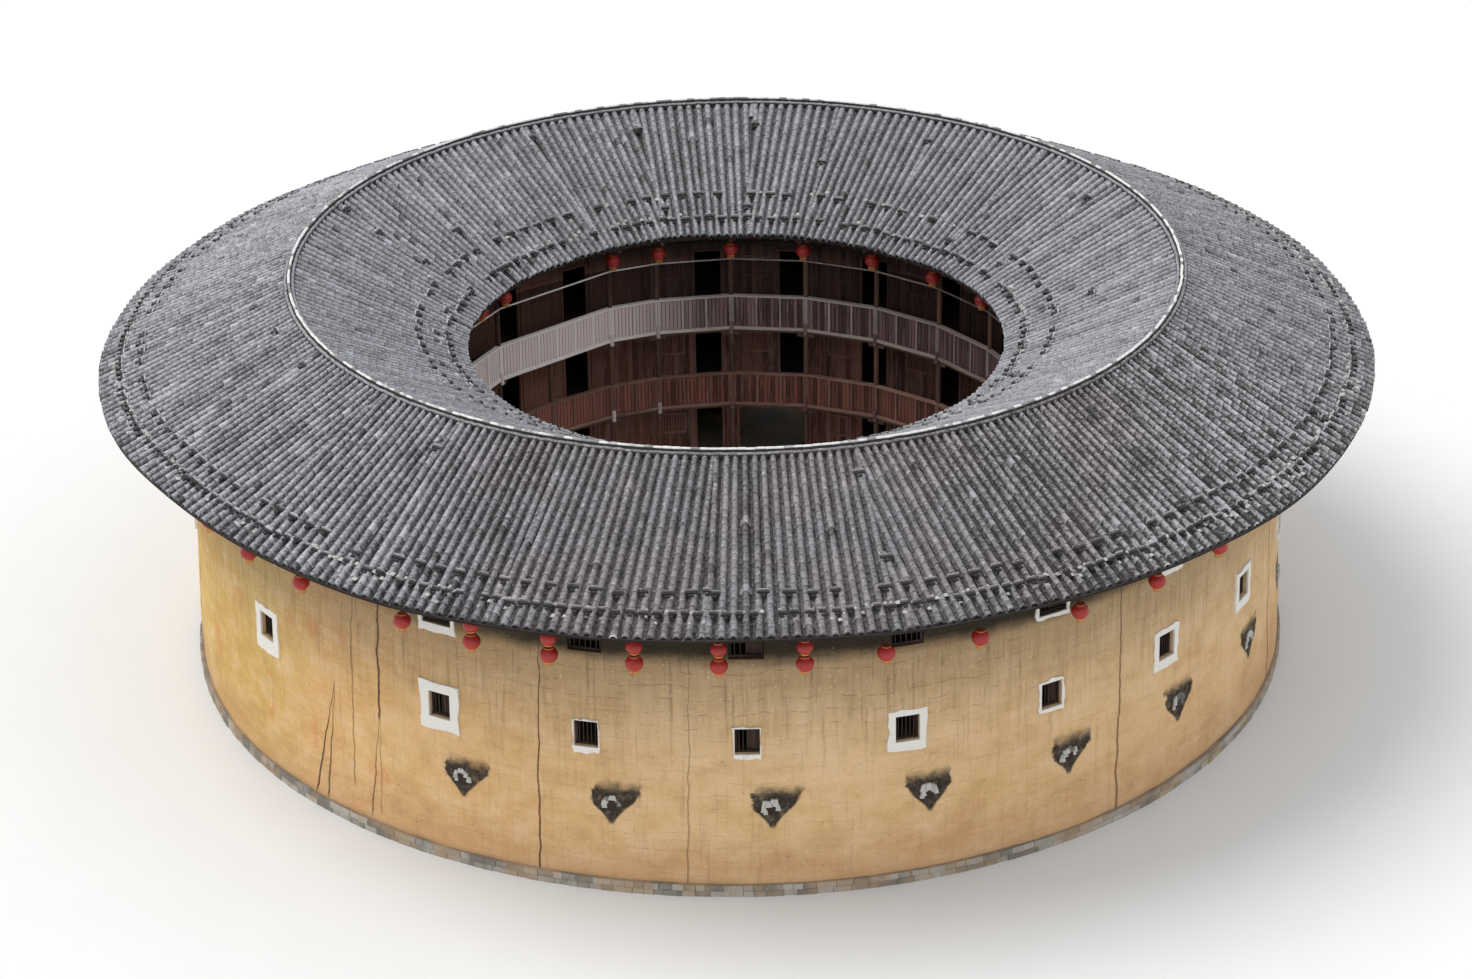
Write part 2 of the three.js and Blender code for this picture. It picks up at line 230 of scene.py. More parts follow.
class Shape:
    """Faces of a piece. Each has a tone from 0 to 1, and each point has a place along its own grain."""

    def __init__(self):
        self.points, self.faces, self.tones, self.grains = [], [], [], []
        self.total = 0

    def add(self, points, faces, tones=0.5, grains=None):
        """Points of any array shape, and faces that count them from 0."""
        points = np.reshape(points, (-1, 3))
        faces = np.asarray(faces)
        self.points.append(points)
        self.faces.append(faces + self.total)
        self.tones.append(np.broadcast_to(tones, len(faces)).astype(float))
        self.grains.append(points if grains is None else np.reshape(grains, (-1, 3)))
        self.total += len(points)

    def blocks(
        self, bearing, inner, outer, width, bottom, top, across=0, rise=0, tones=0.5, grain="z", taper=0
    ):
        """Blocks square to their bearings. rise lifts the outer end, taper draws in the top."""
        values = np.broadcast_arrays(bearing, inner, outer, width, bottom, top, across, rise)
        columns = (np.reshape(value, (-1, 1)).astype(float) for value in values)
        bearing, inner, outer, width, bottom, top, across, rise = columns
        count = len(bearing)
        u = np.array([-1, 1, 1, -1, -1, 1, 1, -1]) / 2
        v = np.array([0, 0, 1, 1, 0, 0, 1, 1])
        w = np.array([0, 0, 0, 0, 1, 1, 1, 1])
        draw = 1 - taper * w
        x = across + width * u * draw
        y = (inner + outer) / 2 + (outer - inner) * (v - 0.5) * draw
        z = bottom + (top - bottom) * w + rise * v
        turn = np.radians(bearing)
        points = np.stack([y * np.sin(turn) + x * np.cos(turn), -y * np.cos(turn) + x * np.sin(turn), z], -1)
        order = {"z": (x, y, z), "across": (y, z, x), "radial": (x, z, y)}[grain]
        grains = np.stack(order, -1) + rng.uniform(-50, 50, (count, 1, 3))
        faces = (np.arange(count)[:, None, None] * 8 + BOX_FACES).reshape(-1, 4)
        self.add(points, faces, np.repeat(np.broadcast_to(tones, count), 6), grains)

    def ring(self, section, steps, tones=0.5, wobble=0.0):
        """A ring of a closed section of (radius, height) points, anticlockwise."""
        section = np.array(section, float)
        turns = np.linspace(0, 360, steps, endpoint=False)
        shift = rng.normal(0, wobble, (steps, 1, 2)) if wobble else np.zeros((steps, 1, 2))
        radii, heights = np.moveaxis(section + shift, -1, 0)
        along = np.broadcast_to(np.radians(turns)[:, None] * section[:, 0].mean(), radii.shape)
        faces = grid_faces(steps, len(section), True, True)
        self.add(place(radii, turns[:, None], heights), faces, tones, np.stack([radii, heights, along], -1))

    def lathe(self, centre, profile, sides, tones=0.5, ribs=0.0):
        """A turned piece with an upright axis at centre, of (radius, height) points from its foot up."""
        radius, height = np.array(profile, float).T[..., None]
        turn = np.linspace(0, 2 * np.pi, sides, endpoint=False)
        swell = 1 + ribs * (np.arange(sides) % 2)
        x, y = radius * np.sin(turn) * swell, radius * np.cos(turn) * swell
        points = np.stack([x, y, np.broadcast_to(height, x.shape)], -1).reshape(-1, 3) + centre
        loop = np.arange(sides)[None, :]
        self.add(points, grid_faces(len(radius), sides, False, True), tones)
        self.add(points[:sides], loop, tones)
        self.add(points[-sides:], loop[:, ::-1], tones)

    def beam(self, between, inner, outer, bottom, top):
        """A beam from post to post, one straight length to a bay."""
        for start, end in between:
            bearing, radius, length = flat_side(inner, start, end)
            self.blocks(bearing, radius, radius + outer - inner, length, bottom, top, grain="across")

    def settle(self):
        """Carry the roof's ups and downs over to all the points."""
        self.points = [settled(points) for points in self.points]

    def build(self, name, material, slot, replaces=(), smooth=False):
        """The piece of the house that these faces make."""
        mesh = bpy.data.meshes.new(name)
        points = np.concatenate(self.points)
        sizes = np.concatenate([np.full(len(faces), faces.shape[1]) for faces in self.faces])
        corners = np.concatenate([faces.ravel() for faces in self.faces])
        mesh.vertices.add(len(points))
        mesh.vertices.foreach_set("co", points.ravel())
        mesh.loops.add(len(corners))
        mesh.loops.foreach_set("vertex_index", corners)
        mesh.polygons.add(len(sizes))
        mesh.polygons.foreach_set("loop_start", np.cumsum(sizes) - sizes)
        mesh.update(calc_edges=True)
        mesh.validate()
        tone = mesh.attributes.new("tone", "FLOAT", "FACE")
        tone.data.foreach_set("value", np.concatenate(self.tones).astype(np.float32))
        grain = mesh.attributes.new("grain", "FLOAT_VECTOR", "POINT")
        grain.data.foreach_set("vector", np.concatenate(self.grains).ravel().astype(np.float32))
        if smooth:
            mesh.shade_smooth()
        else:
            mesh.shade_flat()
        mesh.materials.append(material)
        piece = add_object(name, mesh)
        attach(piece, "root")
        if replaces:
            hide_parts(*replaces)


def add_node(tree, kind, inputs=(), **settings):
    """A node of a material's tree, with its settings, and its inputs by name or number."""
    made = tree.nodes.new(kind)
    for key, value in settings.items():
        setattr(made, key, value)
    for key, value in dict(inputs).items():
        feed(made.inputs[key], value)
    return made


def feed(socket, value):
    """Give a node's input a worked-out value, a colour, or a plain number or vector."""
    if isinstance(value, Value):
        socket.id_data.links.new(value.socket, socket)
    elif socket.type == "RGBA":
        socket.default_value = (*value, 1)
    else:
        socket.default_value = value


def operation(name, swapped=False):
    """A sign or word of Value: one step of arithmetic with a second value or number."""

    def step(value, other=0.0):
        first, second = (other, value) if swapped else (value, other)
        return value.node("ShaderNodeMath", {0: first, 1: second}, operation=name)

    return step


class Value:
    """A number, vector or colour that a material works out at each place, and what can be made of it."""

    __add__ = __radd__ = operation("ADD")
    __mul__ = __rmul__ = operation("MULTIPLY")
    __sub__ = operation("SUBTRACT")
    __rsub__ = operation("SUBTRACT", swapped=True)
    __truediv__ = operation("DIVIDE")
    __mod__ = operation("FLOORED_MODULO")
    __lt__ = operation("LESS_THAN")
    __gt__ = operation("GREATER_THAN")
    __abs__ = operation("ABSOLUTE")
    larger = operation("MAXIMUM")
    root = operation("SQRT")
    whole = operation("FLOOR")
    fraction = operation("FRACT")
    angle_over = operation("ARCTAN2")

    def __init__(self, socket):
        self.socket = socket

    def node(self, kind, inputs, output=0, **settings):
        """One output of a new node in the same material."""
        return Value(add_node(self.socket.id_data, kind, inputs, **settings).outputs[output])

    def split(self):
        """The three parts of a vector."""
        return [self.node("ShaderNodeSeparateXYZ", {0: self}, output) for output in range(3)]

    def stretch(self, *scale, offset=(0, 0, 0)):
        """This place with its three parts scaled, and moved by offset."""
        return self.node("ShaderNodeMapping", {"Vector": self, "Scale": scale, "Location": offset})

    def noise(self, scale, detail, roughness=0.55):
        inputs = {"Vector": self, "Scale": scale, "Detail": detail, "Roughness": roughness}
        return self.node("ShaderNodeTexNoise", inputs)

    def cells(self, scale):
        """How far this place is from the nearest of many scattered points."""
        return self.node("ShaderNodeTexVoronoi", {"Vector": self, "Scale": scale})

    def ramp(self, low, high, to_low=0.0, to_high=1.0):
        """This number carried smoothly from the range low to high into the range to_low to to_high."""
        inputs = {"Value": self, "From Min": low, "From Max": high, "To Min": to_low, "To Max": to_high}
        return self.node("ShaderNodeMapRange", inputs, interpolation_type="SMOOTHSTEP")

    def mix(self, first, second):
        """The first colour where this share is 0, and the second where it is 1."""
        return self.node("ShaderNodeMix", {0: self, 6: first, 7: second}, output=2, data_type="RGBA")


def coats(colour, *layers):
    """A colour with layers laid over it in turn, each a share and a colour."""
    for share, paint in layers:
        colour = share.mix(colour, paint)
    return colour


class Surface:
    """A material under way, with the place, the tone and the grain of each point."""

    def __init__(self, name):
        self.material = bpy.data.materials.new(name)
        self.material.use_nodes = True
        self.here = self.source("ShaderNodeTexCoord", "Object")
        self.tone = self.source("ShaderNodeAttribute", "Fac", attribute_name="tone")
        self.grain = self.source("ShaderNodeAttribute", "Vector", attribute_name="grain")
        self.x, self.y, self.z = self.here.split()

    def source(self, kind, output, **settings):
        return Value(add_node(self.material.node_tree, kind, **settings).outputs[output])

    def bearing(self):
        return self.x.angle_over(self.y * -1) * (180 / math.pi)

    def radius(self):
        return (self.x * self.x + self.y * self.y).root()

    def finish(self, colour, roughness, height=None, distance=0.02, specular=0.3):
        """The material, with bumps where height gives them."""
        inputs = {"Base Color": colour, "Roughness": roughness, "Specular IOR Level": specular}
        if height is not None:
            inputs["Normal"] = height.node("ShaderNodeBump", {"Height": height, "Distance": distance})
        shader = self.material.node_tree.nodes["Principled BSDF"]
        for name, value in inputs.items():
            feed(shader.inputs[name], value)
        return self.material


def tile_material():
    """Grey clay, black in the gullies with painted shade and dirt, with lime on some ends, pale specks,
    holes and lichen.
    """
    g = Surface("clay_tile")
    broad, patch, fine = g.here.noise(0.35, 4), g.here.noise(1.3, 5), g.here.noise(14, 4)
    along = g.grain.split()[2]
    value = g.tone + patch.ramp(0.3, 0.7, -0.06, 0.06) + fine.ramp(0.3, 0.7, -0.17, 0.17)
    # Painted shade and dirt: each tile is lighter towards its lower end and darker where the next tile
    # overlaps it
    value += along.ramp(0.4, 0.05, 0, 0.09) + along.ramp(0.5, 0.95, 0, -0.09)
    # Painted shade: the gullies are less dark at the front and towards the yard, and blackest on the front's
    # right, where the ribs shade them
    bearing = g.bearing()
    inward = g.radius().ramp(RIDGE_RADIUS + 0.05, RIDGE_RADIUS - 0.05)
    right = bearing.ramp(14, 30) * bearing.ramp(78, 58) * (1 - inward)
    bright = abs(bearing).ramp(30, 10).larger(inward)
    depth = right * 0.6 + bright * -0.25 + 1
    usual = 0.52
    value = (value - usual) * depth + usual
    # Painted light and sky sheen: the sides and the slope to the yard are paler and bluer than the front and
    # back
    worn = broad.ramp(0.4, 0.62)
    dark = worn.mix((0.016, 0.015, 0.016), (0.02, 0.015, 0.016))
    light = coats(
        worn.mix((0.295, 0.284, 0.296), (0.305, 0.273, 0.281)),
        (g.x.ramp(-3, -13), (0.46, 0.455, 0.49)),
        (g.x.ramp(8, 15), (0.42, 0.412, 0.428)),
        (inward, abs(g.x).ramp(4, 10).mix((0.38, 0.375, 0.392), (0.46, 0.46, 0.495))),
    )
    speck = g.here.noise(9, 3, 0.7).ramp(0.61, 0.67) * g.tone.ramp(0.3, 0.45, 0, 0.6)
    hole = g.here.stretch(1, 1, 1, offset=(7, 3, 1)).noise(6, 2).ramp(0.3, 0.26) * 0.8
    lichen = g.here.noise(5, 3).ramp(0.66, 0.74) * 0.35
    colour = coats(
        value.ramp(0, 1).mix(dark, light),
        (g.tone.ramp(1.2, 1.5), (0.6, 0.6, 0.58)),
        (speck, (0.56, 0.56, 0.57)),
        (hole, (0.02, 0.018, 0.018)),
        (lichen, (0.3, 0.31, 0.27)),
    )
    return g.finish(colour, fine.ramp(0.3, 0.7, 0.5, 0.75), fine, 0.012, specular=0.5)


def plaster_material(name, bright, grime, spread):
    """Lime plaster, greyed by grime where the noise is over spread."""
    g = Surface(name)
    broad, fine = g.here.noise(2.2, 6, 0.65), g.here.noise(24, 5)
    grimy = (broad + (0.5 - g.tone) * 0.5).ramp(spread, spread + 0.25)
    colour = coats(grimy.mix(bright, grime), (fine.ramp(0.35, 0.75, 0, 0.3), grime))
    return g.finish(colour, 0.9, fine + broad * 2, 0.015)


def timber_material(name, dark, light, worn, wear=0.3, side_tint=None, shade_and_soot=()):
    """Sawn timber, its grain along each piece. It pales where it is worn, and on one side of the yard by
    bearing.

    The side tint holds the bearings where paling starts and is full, and its colour; the timber darkens at
    bearings below the start. A band of painted shade with soot is the height where it starts, the one where
    it is full, and its share there.
    """
    g = Surface(name)
    streak = g.grain.stretch(28, 28, 1.6).noise(1, 6, 0.6)
    broad = g.grain.stretch(3, 3, 0.7).noise(1, 3)
    value = g.tone * 0.8 + streak.ramp(0.3, 0.7, -0.1, 0.35)
    colour = coats(value.ramp(0.1, 0.9).mix(dark, light), (broad.ramp(0.5, 0.72, 0, wear), worn))
    if side_tint:
        # Paler on one side of the yard and darker before it, by bearing
        start, full, pale = side_tint
        bearing = g.bearing() % 360
        paled_side = bearing.ramp(start, full, 0, 0.85) * bearing.ramp(330, 290)
        dull = bearing.ramp(start - 5, start - 60, 0, 0.6) * bearing.ramp(20, 80)
        colour = coats(colour, (paled_side, pale), (dull, dark))
    # Painted shade with some soot: a near-black band that rises towards each ceiling
    for low, high, share in shade_and_soot:
        band = g.z.ramp(low, high, 0, share) * (g.z < high + 1.8)
        colour = coats(colour, (band, (0.012, 0.009, 0.01)))
    return g.finish(colour, streak.ramp(0.3, 0.7, 0.65, 0.88), streak, 0.006)


def stone_material():
    """Rough grey stones, stained here and there by the earth."""
    g = Surface("footing_stone")
    broad, fine = g.here.noise(1.5, 5), g.here.noise(30, 5)
    value = g.tone + broad.ramp(0.3, 0.7, -0.25, 0.25)
    stain = g.here.noise(0.9, 4).ramp(0.42, 0.6, 0, 0.6)
    colour = coats(value.ramp(0, 1).mix((0.2, 0.18, 0.15), (0.44, 0.41, 0.36)), (stain, (0.42, 0.29, 0.17)))
    return g.finish(colour, 0.88, fine + broad, 0.02)


def cloth_material(name, colour, deep):
    """Thin woven cloth, deeper in colour in patches."""
    g = Surface(name)
    patch = g.here.noise(9, 3).ramp(0.35, 0.7, 0, 0.35)
    shade = coats(g.tone.ramp(0, 1).mix(deep, colour), (patch, deep))
    return g.finish(shade, 0.42, g.here.noise(60, 2), 0.002, specular=0.5)


# Seams and cracks of the wall: bearing and height of the top and of the bottom, half width, strength
WALL_SEAMS = (
    (-19.1, 10.5, -19.8, 0.2, 0.01, 0.85),
    (-4.7, 8.9, -5.2, 0.2, 0.008, 0.4),
    (-40.2, 10.5, -41.4, 1.2, 0.009, 0.5),
    (-37.0, 10.5, -37.5, 3.7, 0.014, 0.9),
    (-37.5, 3.8, -39.2, 0.5, 0.011, 0.65),
    (-37.3, 4.3, -37.9, 0.6, 0.008, 0.35),
    (-43.5, 4.4, -47.2, 0.4, 0.015, 0.9),
    (-43.6, 4.3, -45.4, 0.4, 0.013, 0.8),
    (40.0, 10.5, 39.6, 0.2, 0.014, 0.7),
    (71.0, 10.5, 71.8, 0.2, 0.018, 0.8),
    (104.0, 10.5, 103.0, 0.2, 0.016, 0.7),
    (150.0, 10.5, 150.8, 0.2, 0.014, 0.7),
    (-78.0, 10.5, -78.8, 0.2, 0.018, 0.8),
    (-118.0, 10.5, -117.0, 0.2, 0.018, 0.8),
    (-160.0, 10.5, -160.8, 0.2, 0.014, 0.7),
)
WALL_METRES_PER_DEGREE = math.radians(WALL_FOOT_RADIUS)


def wall_seams(g, bearing):
    """The share of dark seam at each place of the wall. A seam opens towards its bottom."""
    wander = (g.here.stretch(0.6, 0.6, 1.3).noise(1, 4) - 0.5) * 0.22
    found = 0.0
    for top_bearing, top, bottom_bearing, bottom, half, strength in WALL_SEAMS:
        lean = (bottom_bearing - top_bearing) / (bottom - top)
        path = (g.z - top) * lean + top_bearing
        off = abs((bearing - path) * WALL_METRES_PER_DEGREE + wander)
        line = (off / g.z.ramp(top, bottom, 0.35, 1.5)).ramp(half, half * 2.2, strength, 0)
        reach = g.z.ramp(top - 0.3, top, 1, 0) * g.z.ramp(bottom - 0.2, bottom + 0.2)
        found = (line * reach).larger(found)
    return found


def kitchen_soot(g, bearing):
    """The share of soot round the vents of the first two runs of rooms, with none in the gate's room."""
    # The place in the row of rooms, as if the stair bay were away and all rooms had the first run's width
    (first_rooms, room_bay, stair_bay), (next_rooms, next_bay, _) = RUNS[:2]
    turn = (bearing - FIRST_ROOM_EDGE) % 360
    stairs = first_rooms * room_bay
    later = (turn - (stairs + stair_bay)) * (room_bay / next_bay) + stairs
    row = turn + (turn > stairs + stair_bay / 2) * (later - turn)
    room = (row / room_bay).whole()
    luck = room.node("ShaderNodeTexWhiteNoise", {"W": room + 0.37}, noise_dimensions="1D")
    # Metres across from the vent and up from it: a ragged cone that leans to one side as it rises
    u = (row % room_bay - (room_bay / 2 + VENT_OFFSET)) * WALL_METRES_PER_DEGREE
    v = g.z - VENT_HEIGHT
    u -= v.larger(0.0) * (luck - 0.3) * 0.55
    ragged = (g.here.noise(3.2, 5, 0.65) - 0.5) * 0.5
    reach = v.ramp(-0.62, 0.3, 0.02, 0.62)
    sides = (abs(u) + ragged * v.ramp(-0.4, 0.6, 0.25, 1.3)).ramp(reach, reach + 0.1, 1, 0)
    cone = sides * (v + ragged).ramp(0.35, 0.8, 1, 0) * v.ramp(-0.66, -0.5)
    soot = cone * g.here.noise(5, 4).ramp(0.25, 0.5, 0.8, 1)
    kitchens = row < (first_rooms + next_rooms) * room_bay
    at_gate = abs(room - GATE_ROOM) < 0.5
    return soot * (kitchens * (1 - at_gate))


def earth_material():
    """Rammed earth with its lifts, rain streaks, holes, seams and soot, and painted shade under the eave and
    in the window reveals.
    """
    g = Surface("rammed_earth")
    bearing = g.bearing()
    broad = g.here.noise(0.22, 4).ramp(0.35, 0.65)
    patch = g.here.stretch(1, 1, 1.6).noise(0.9, 6, 0.62)
    streak = g.here.stretch(5.5, 5.5, 0.45).noise(1, 5, 0.6)
    lift = g.here.stretch(0.5, 0.5, 9).noise(1, 3)
    grit = g.here.noise(26, 5, 0.7)
    grain = g.here.noise(11, 3, 0.6)
    # Orange earth, yellower at the left, and paler and greyer towards the front's right
    before_back = bearing.ramp(178, 130)
    pale = bearing.ramp(-48, -8) * before_back * g.z.ramp(1.0, 6.5, 0.45, 1.0)
    left = bearing.ramp(-43, -57) * bearing.ramp(-150, -100)
    orange = broad.mix((0.67, 0.38, 0.145), (0.71, 0.44, 0.185))
    yellow = broad.mix((0.6, 0.375, 0.105), (0.64, 0.44, 0.14))
    cool = broad.mix((0.64, 0.43, 0.22), (0.69, 0.48, 0.26))
    # Broken level joints between the rammed lifts, plainest under the front's eave
    level = (g.z * LIFTS_PER_METRE + g.here.stretch(0.9, 0.9, 0.2).noise(1, 3) * 1.2).fraction()
    joint = level.ramp(0, 0.1, 1, 0) * g.here.stretch(2.2, 2.2, 5).noise(1, 4, 0.6).ramp(0.47, 0.56)
    joint *= g.z.ramp(4.4, 6.2, 0.3, 0.95) * abs(bearing).ramp(12, 40, 1, 0.35)
    rain = g.here.stretch(11, 11, 0.35).noise(1, 3, 0.6).ramp(0.56, 0.68) * g.z.ramp(3.5, 7.5, 0.15, 0.8)
    rust = g.here.stretch(1, 1, 0.6).noise(1.1, 5, 0.65).ramp(0.55, 0.7, 0, 0.55) * pale.ramp(0.5, 0)
    splash = (g.z + (patch - 0.5) * 2.2).ramp(0.4, 2.4, 1, 0) * 0.45
    # Painted shade: a streaky darkening up the wall towards the eave, and under the eave a near-black
    # painted shadow, strongest at the front
    upper_shade = (g.z + (streak - 0.5) * 2.5).ramp(3.8, 7.4, 0, 0.62)
    shade = (g.z + (patch - 0.5) * 0.5).ramp(6.95, 7.5, 0, 0.97)
    shade *= bearing.ramp(-42, -18) * before_back * 0.7 + 0.3
    dots = (g.here.stretch(1, 1, 1.5).cells(3.2) + (patch - 0.5) * 0.35).ramp(0.03, 0.06, 0.75, 0)
    seams = wall_seams(g, bearing)
    ash = g.here.noise(7, 4).ramp(0.45, 0.62, 0, 0.35)
    colour = coats(
        pale.mix(left.mix(orange, yellow), cool),
        (patch.ramp(0.42, 0.72, 0, 0.55), (0.78, 0.55, 0.34)),
        (patch.ramp(0.5, 0.3, 0, 0.45), (0.52, 0.31, 0.14)),
        (rain, (0.27, 0.17, 0.09)),
        (streak.ramp(0.55, 0.75, 0, 0.35), (0.36, 0.23, 0.12)),
        (streak.ramp(0.42, 0.28, 0, 0.35), (0.68, 0.5, 0.32)),
        (lift.ramp(0.56, 0.72, 0, 0.2), (0.38, 0.25, 0.14)),
        (joint, (0.2, 0.12, 0.06)),
        (rust, (0.62, 0.24, 0.09)),
        (splash, (0.5, 0.27, 0.14)),
        (upper_shade, (0.24, 0.165, 0.09)),
        (shade, (0.022, 0.016, 0.009)),
        (dots, (0.16, 0.09, 0.05)),
        (grain.ramp(0.62, 0.72, 0, 0.5) * (1 - shade), (0.82, 0.62, 0.42)),
        (grain.ramp(0.36, 0.28, 0, 0.5), (0.33, 0.19, 0.09)),
        (seams, (0.11, 0.045, 0.02)),
        (kitchen_soot(g, bearing) * 0.97, ash.mix((0.016, 0.013, 0.011), (0.12, 0.1, 0.085))),
        # Painted shade: near black inward of the wall's face, as in the windows' reveals
        (g.radius().ramp(16.28, 16.18, 0, 0.95), (0.02, 0.016, 0.012)),
    )
    relief = patch * 1.5 + grit * 0.6 + (lift * 0.7 + streak * 0.5) - seams * 2.5
    return g.finish(colour, grit.ramp(0.3, 0.7, 0.86, 0.97), relief, 0.03)


tile = tile_material()
ridge_plaster = plaster_material("ridge_plaster", (0.72, 0.71, 0.69), (0.22, 0.215, 0.21), 0.56)
mortar = plaster_material("grey_mortar", (0.52, 0.5, 0.46), (0.15, 0.14, 0.125), 0.52)
white_plaster = plaster_material("white_plaster", (0.8, 0.77, 0.71), (0.5, 0.44, 0.36), 0.62)
# Fascia timber painted near black: dark timber darkened further as painted shade under the eaves
eave_shade_timber = timber_material(
    "eave_timber",
    (0.01, 0.008, 0.006),
    (0.03, 0.022, 0.018),
    (0.045, 0.036, 0.03),
)
dark_timber = timber_material(
    "smoked_timber",
    (0.03, 0.016, 0.012),
    (0.14, 0.07, 0.048),
    (0.18, 0.13, 0.1),
    0.25,
)
front_timber = timber_material(
    "room_front_timber",
    (0.07, 0.03, 0.024),
    (0.4, 0.19, 0.14),
    (0.44, 0.32, 0.28),
    0.4,
    side_tint=(185, 230, (0.42, 0.19, 0.13)),
    shade_and_soot=((SECOND_FLOOR + 1.5, SECOND_FLOOR + 2.5, 0.7), (THIRD_FLOOR + 1.2, THIRD_FLOOR + 2.3, 0.92)),
)
red_timber = timber_material(
    "red_brown_timber",
    (0.05, 0.018, 0.012),
    (0.25, 0.092, 0.06),
    (0.27, 0.15, 0.12),
    side_tint=(185, 230, (0.3, 0.12, 0.085)),
)
rail_timber = timber_material(
    "rail_timber",
    (0.06, 0.03, 0.022),
    (0.27, 0.15, 0.11),
    (0.33, 0.23, 0.19),
    0.4,
)
grey_timber = timber_material(
    "weathered_timber",
    (0.05, 0.026, 0.026),
    (0.21, 0.118, 0.115),
    (0.29, 0.21, 0.2),
    0.5,
    side_tint=(180, 212, (0.85, 0.72, 0.68)),
)
pale_timber = timber_material(
    "bleached_timber",
    (0.13, 0.1, 0.09),
    (0.42, 0.35, 0.32),
    (0.5, 0.45, 0.43),
    0.6,
    side_tint=(180, 212, (0.9, 0.83, 0.78)),
)
earth = earth_material()
stone = stone_material()
red_cloth = cloth_material("lantern_cloth", (0.44, 0.022, 0.015), (0.2, 0.012, 0.01))
gold_cloth = cloth_material("lantern_fringe", (0.62, 0.3, 0.05), (0.4, 0.1, 0.03))

# Tiles: the length that shows of each, the step up to the next, and the margins at the ridge and the eave
COURSE = 0.25
TILE_STEP = 0.018
RIDGE_MARGIN = 0.14
EAVE_MARGIN = 0.01

# Shares: of a column's width by which tiles pass a seam, of a course that they overlap, and of limed mouths
SEAM_SLACK = 0.26
OVERLAP = 0.04
LIMED_SHARE = 0.035

# The tile material shows this tone as lime
LIME_TONE = 1.7

# Half a tile column's section, from gully to cover, over its width, and how light or dark each strip is; the
# gullies' dark is painted shade and dirt
HALF_SECTION = [(-0.5, -0.06), (-0.33, -0.045), (-0.3, 0.01), (-0.18, 0.06), (0.0, 0.08)]
TILE_SECTION = np.array(HALF_SECTION + [(-across, height) for across, height in HALF_SECTION[-2::-1]])
SECTION_TONES = np.array([-0.3, -0.22, -0.05, 0.02, 0.02, -0.05, -0.22, -0.3])
GULLY = np.abs(TILE_SECTION[:, 0]) > 0.32


class Slope:
    """A slope of the roof and its columns of tiles, which run together towards the axis by the share fan.

    Groups of columns meet at the bearings in seams. Each group runs along its middle, or as headings says.
    """

    def __init__(self, name, eave, column_width, fan, seams, headings):
        self.name, self.eave, self.column_width, self.fan = name, eave, column_width, fan
        self.seams, self.headings = seams, headings
        self.eave_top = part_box(name + "_01")[0].z + ROOF_DEPTH
        self.outward = 1 if eave > RIDGE_RADIUS else -1
        self.foot = eave - self.outward * EAVE_MARGIN
        head = RIDGE_RADIUS + self.outward * RIDGE_MARGIN
        self.high = max(self.foot, head)
        length = math.hypot(head - self.foot, self.top(head) - self.top(self.foot))
        self.courses = int(length / COURSE)
        self.pitch = abs(head - self.foot) / self.courses

    def top(self, radius):
        """The height of the CAD slab's top."""
        return SLAB_TOP - (radius - RIDGE_RADIUS) * (SLAB_TOP - self.eave_top) / (self.eave - RIDGE_RADIUS)


OUTER_SLOPE = Slope(
    "roof_outer_slope",
    EAVE_RADIUS,
    0.33,
    0.8,
    (-62, -47, -34.5, -20, -3, 13.5, 28.5, 52.5, *range(67, 278, 15), 288),
    {-47: -38, -34.5: -24.5, -20: -13, -3: 3.5, 13.5: 25, 28.5: 41, 52.5: 57},
)
INNER_SLOPE = Slope(
    "roof_inner_slope",
    INNER_EAVE_RADIUS,
    0.31,
    0.6,
    (*range(-86, 80, 15), 90, 101, 116.5, 131.5, 149, 164.5, 177, 194.5, 210.5, 236, 249, 262),
    {101: 107, 116.5: 124, 131.5: 141, 149: 156, 164.5: 169, 177: 185, 194.5: 204, 210.5: 221, 236: 236},
)


def lay_out_group(slope, seam_from, seam_to, heading):
    """A group of tile columns between two seams.

    Gives the bearing along which each column runs and how far to the side of the axis it passes, then for
    each of its courses the near and the far radius, the bearing, and whether there is a tile.
    """
    width, high, courses = slope.column_width, slope.high, slope.courses
    reach = [high * math.sin(math.radians(seam - heading)) / width for seam in (seam_from, seam_to)]
    offsets = np.arange(math.floor(reach[0]), math.ceil(reach[1]) + 1) * width
    at_edge = heading + np.degrees(np.arcsin(np.clip(offsets / high, -0.99, 0.99)))
    runs = heading + slope.fan * (at_edge - (seam_from + seam_to) / 2)
    sides = high * np.sin(np.radians(at_edge - runs))
    # Each column's courses start at their own place, so a first and a last tile are short
    started = rng.random(len(runs))[:, None] + np.arange(-1, courses)
    steps = [slope.outward * np.clip(started + end, 0, courses) * slope.pitch for end in (0, 1)]
    near, far = slope.foot - steps[0], slope.foot - steps[1]
    middle = (near + far) / 2
    share = np.clip(sides[:, None] / middle, -1, 1)
    bearing = runs[:, None] + np.degrees(np.arcsin(share))
    slack = np.degrees(SEAM_SLACK * width / middle)
    present = (bearing > seam_from - slack) & (bearing < seam_to + slack) & (np.abs(share) < 0.97)
    return runs, sides, near, far, bearing, present


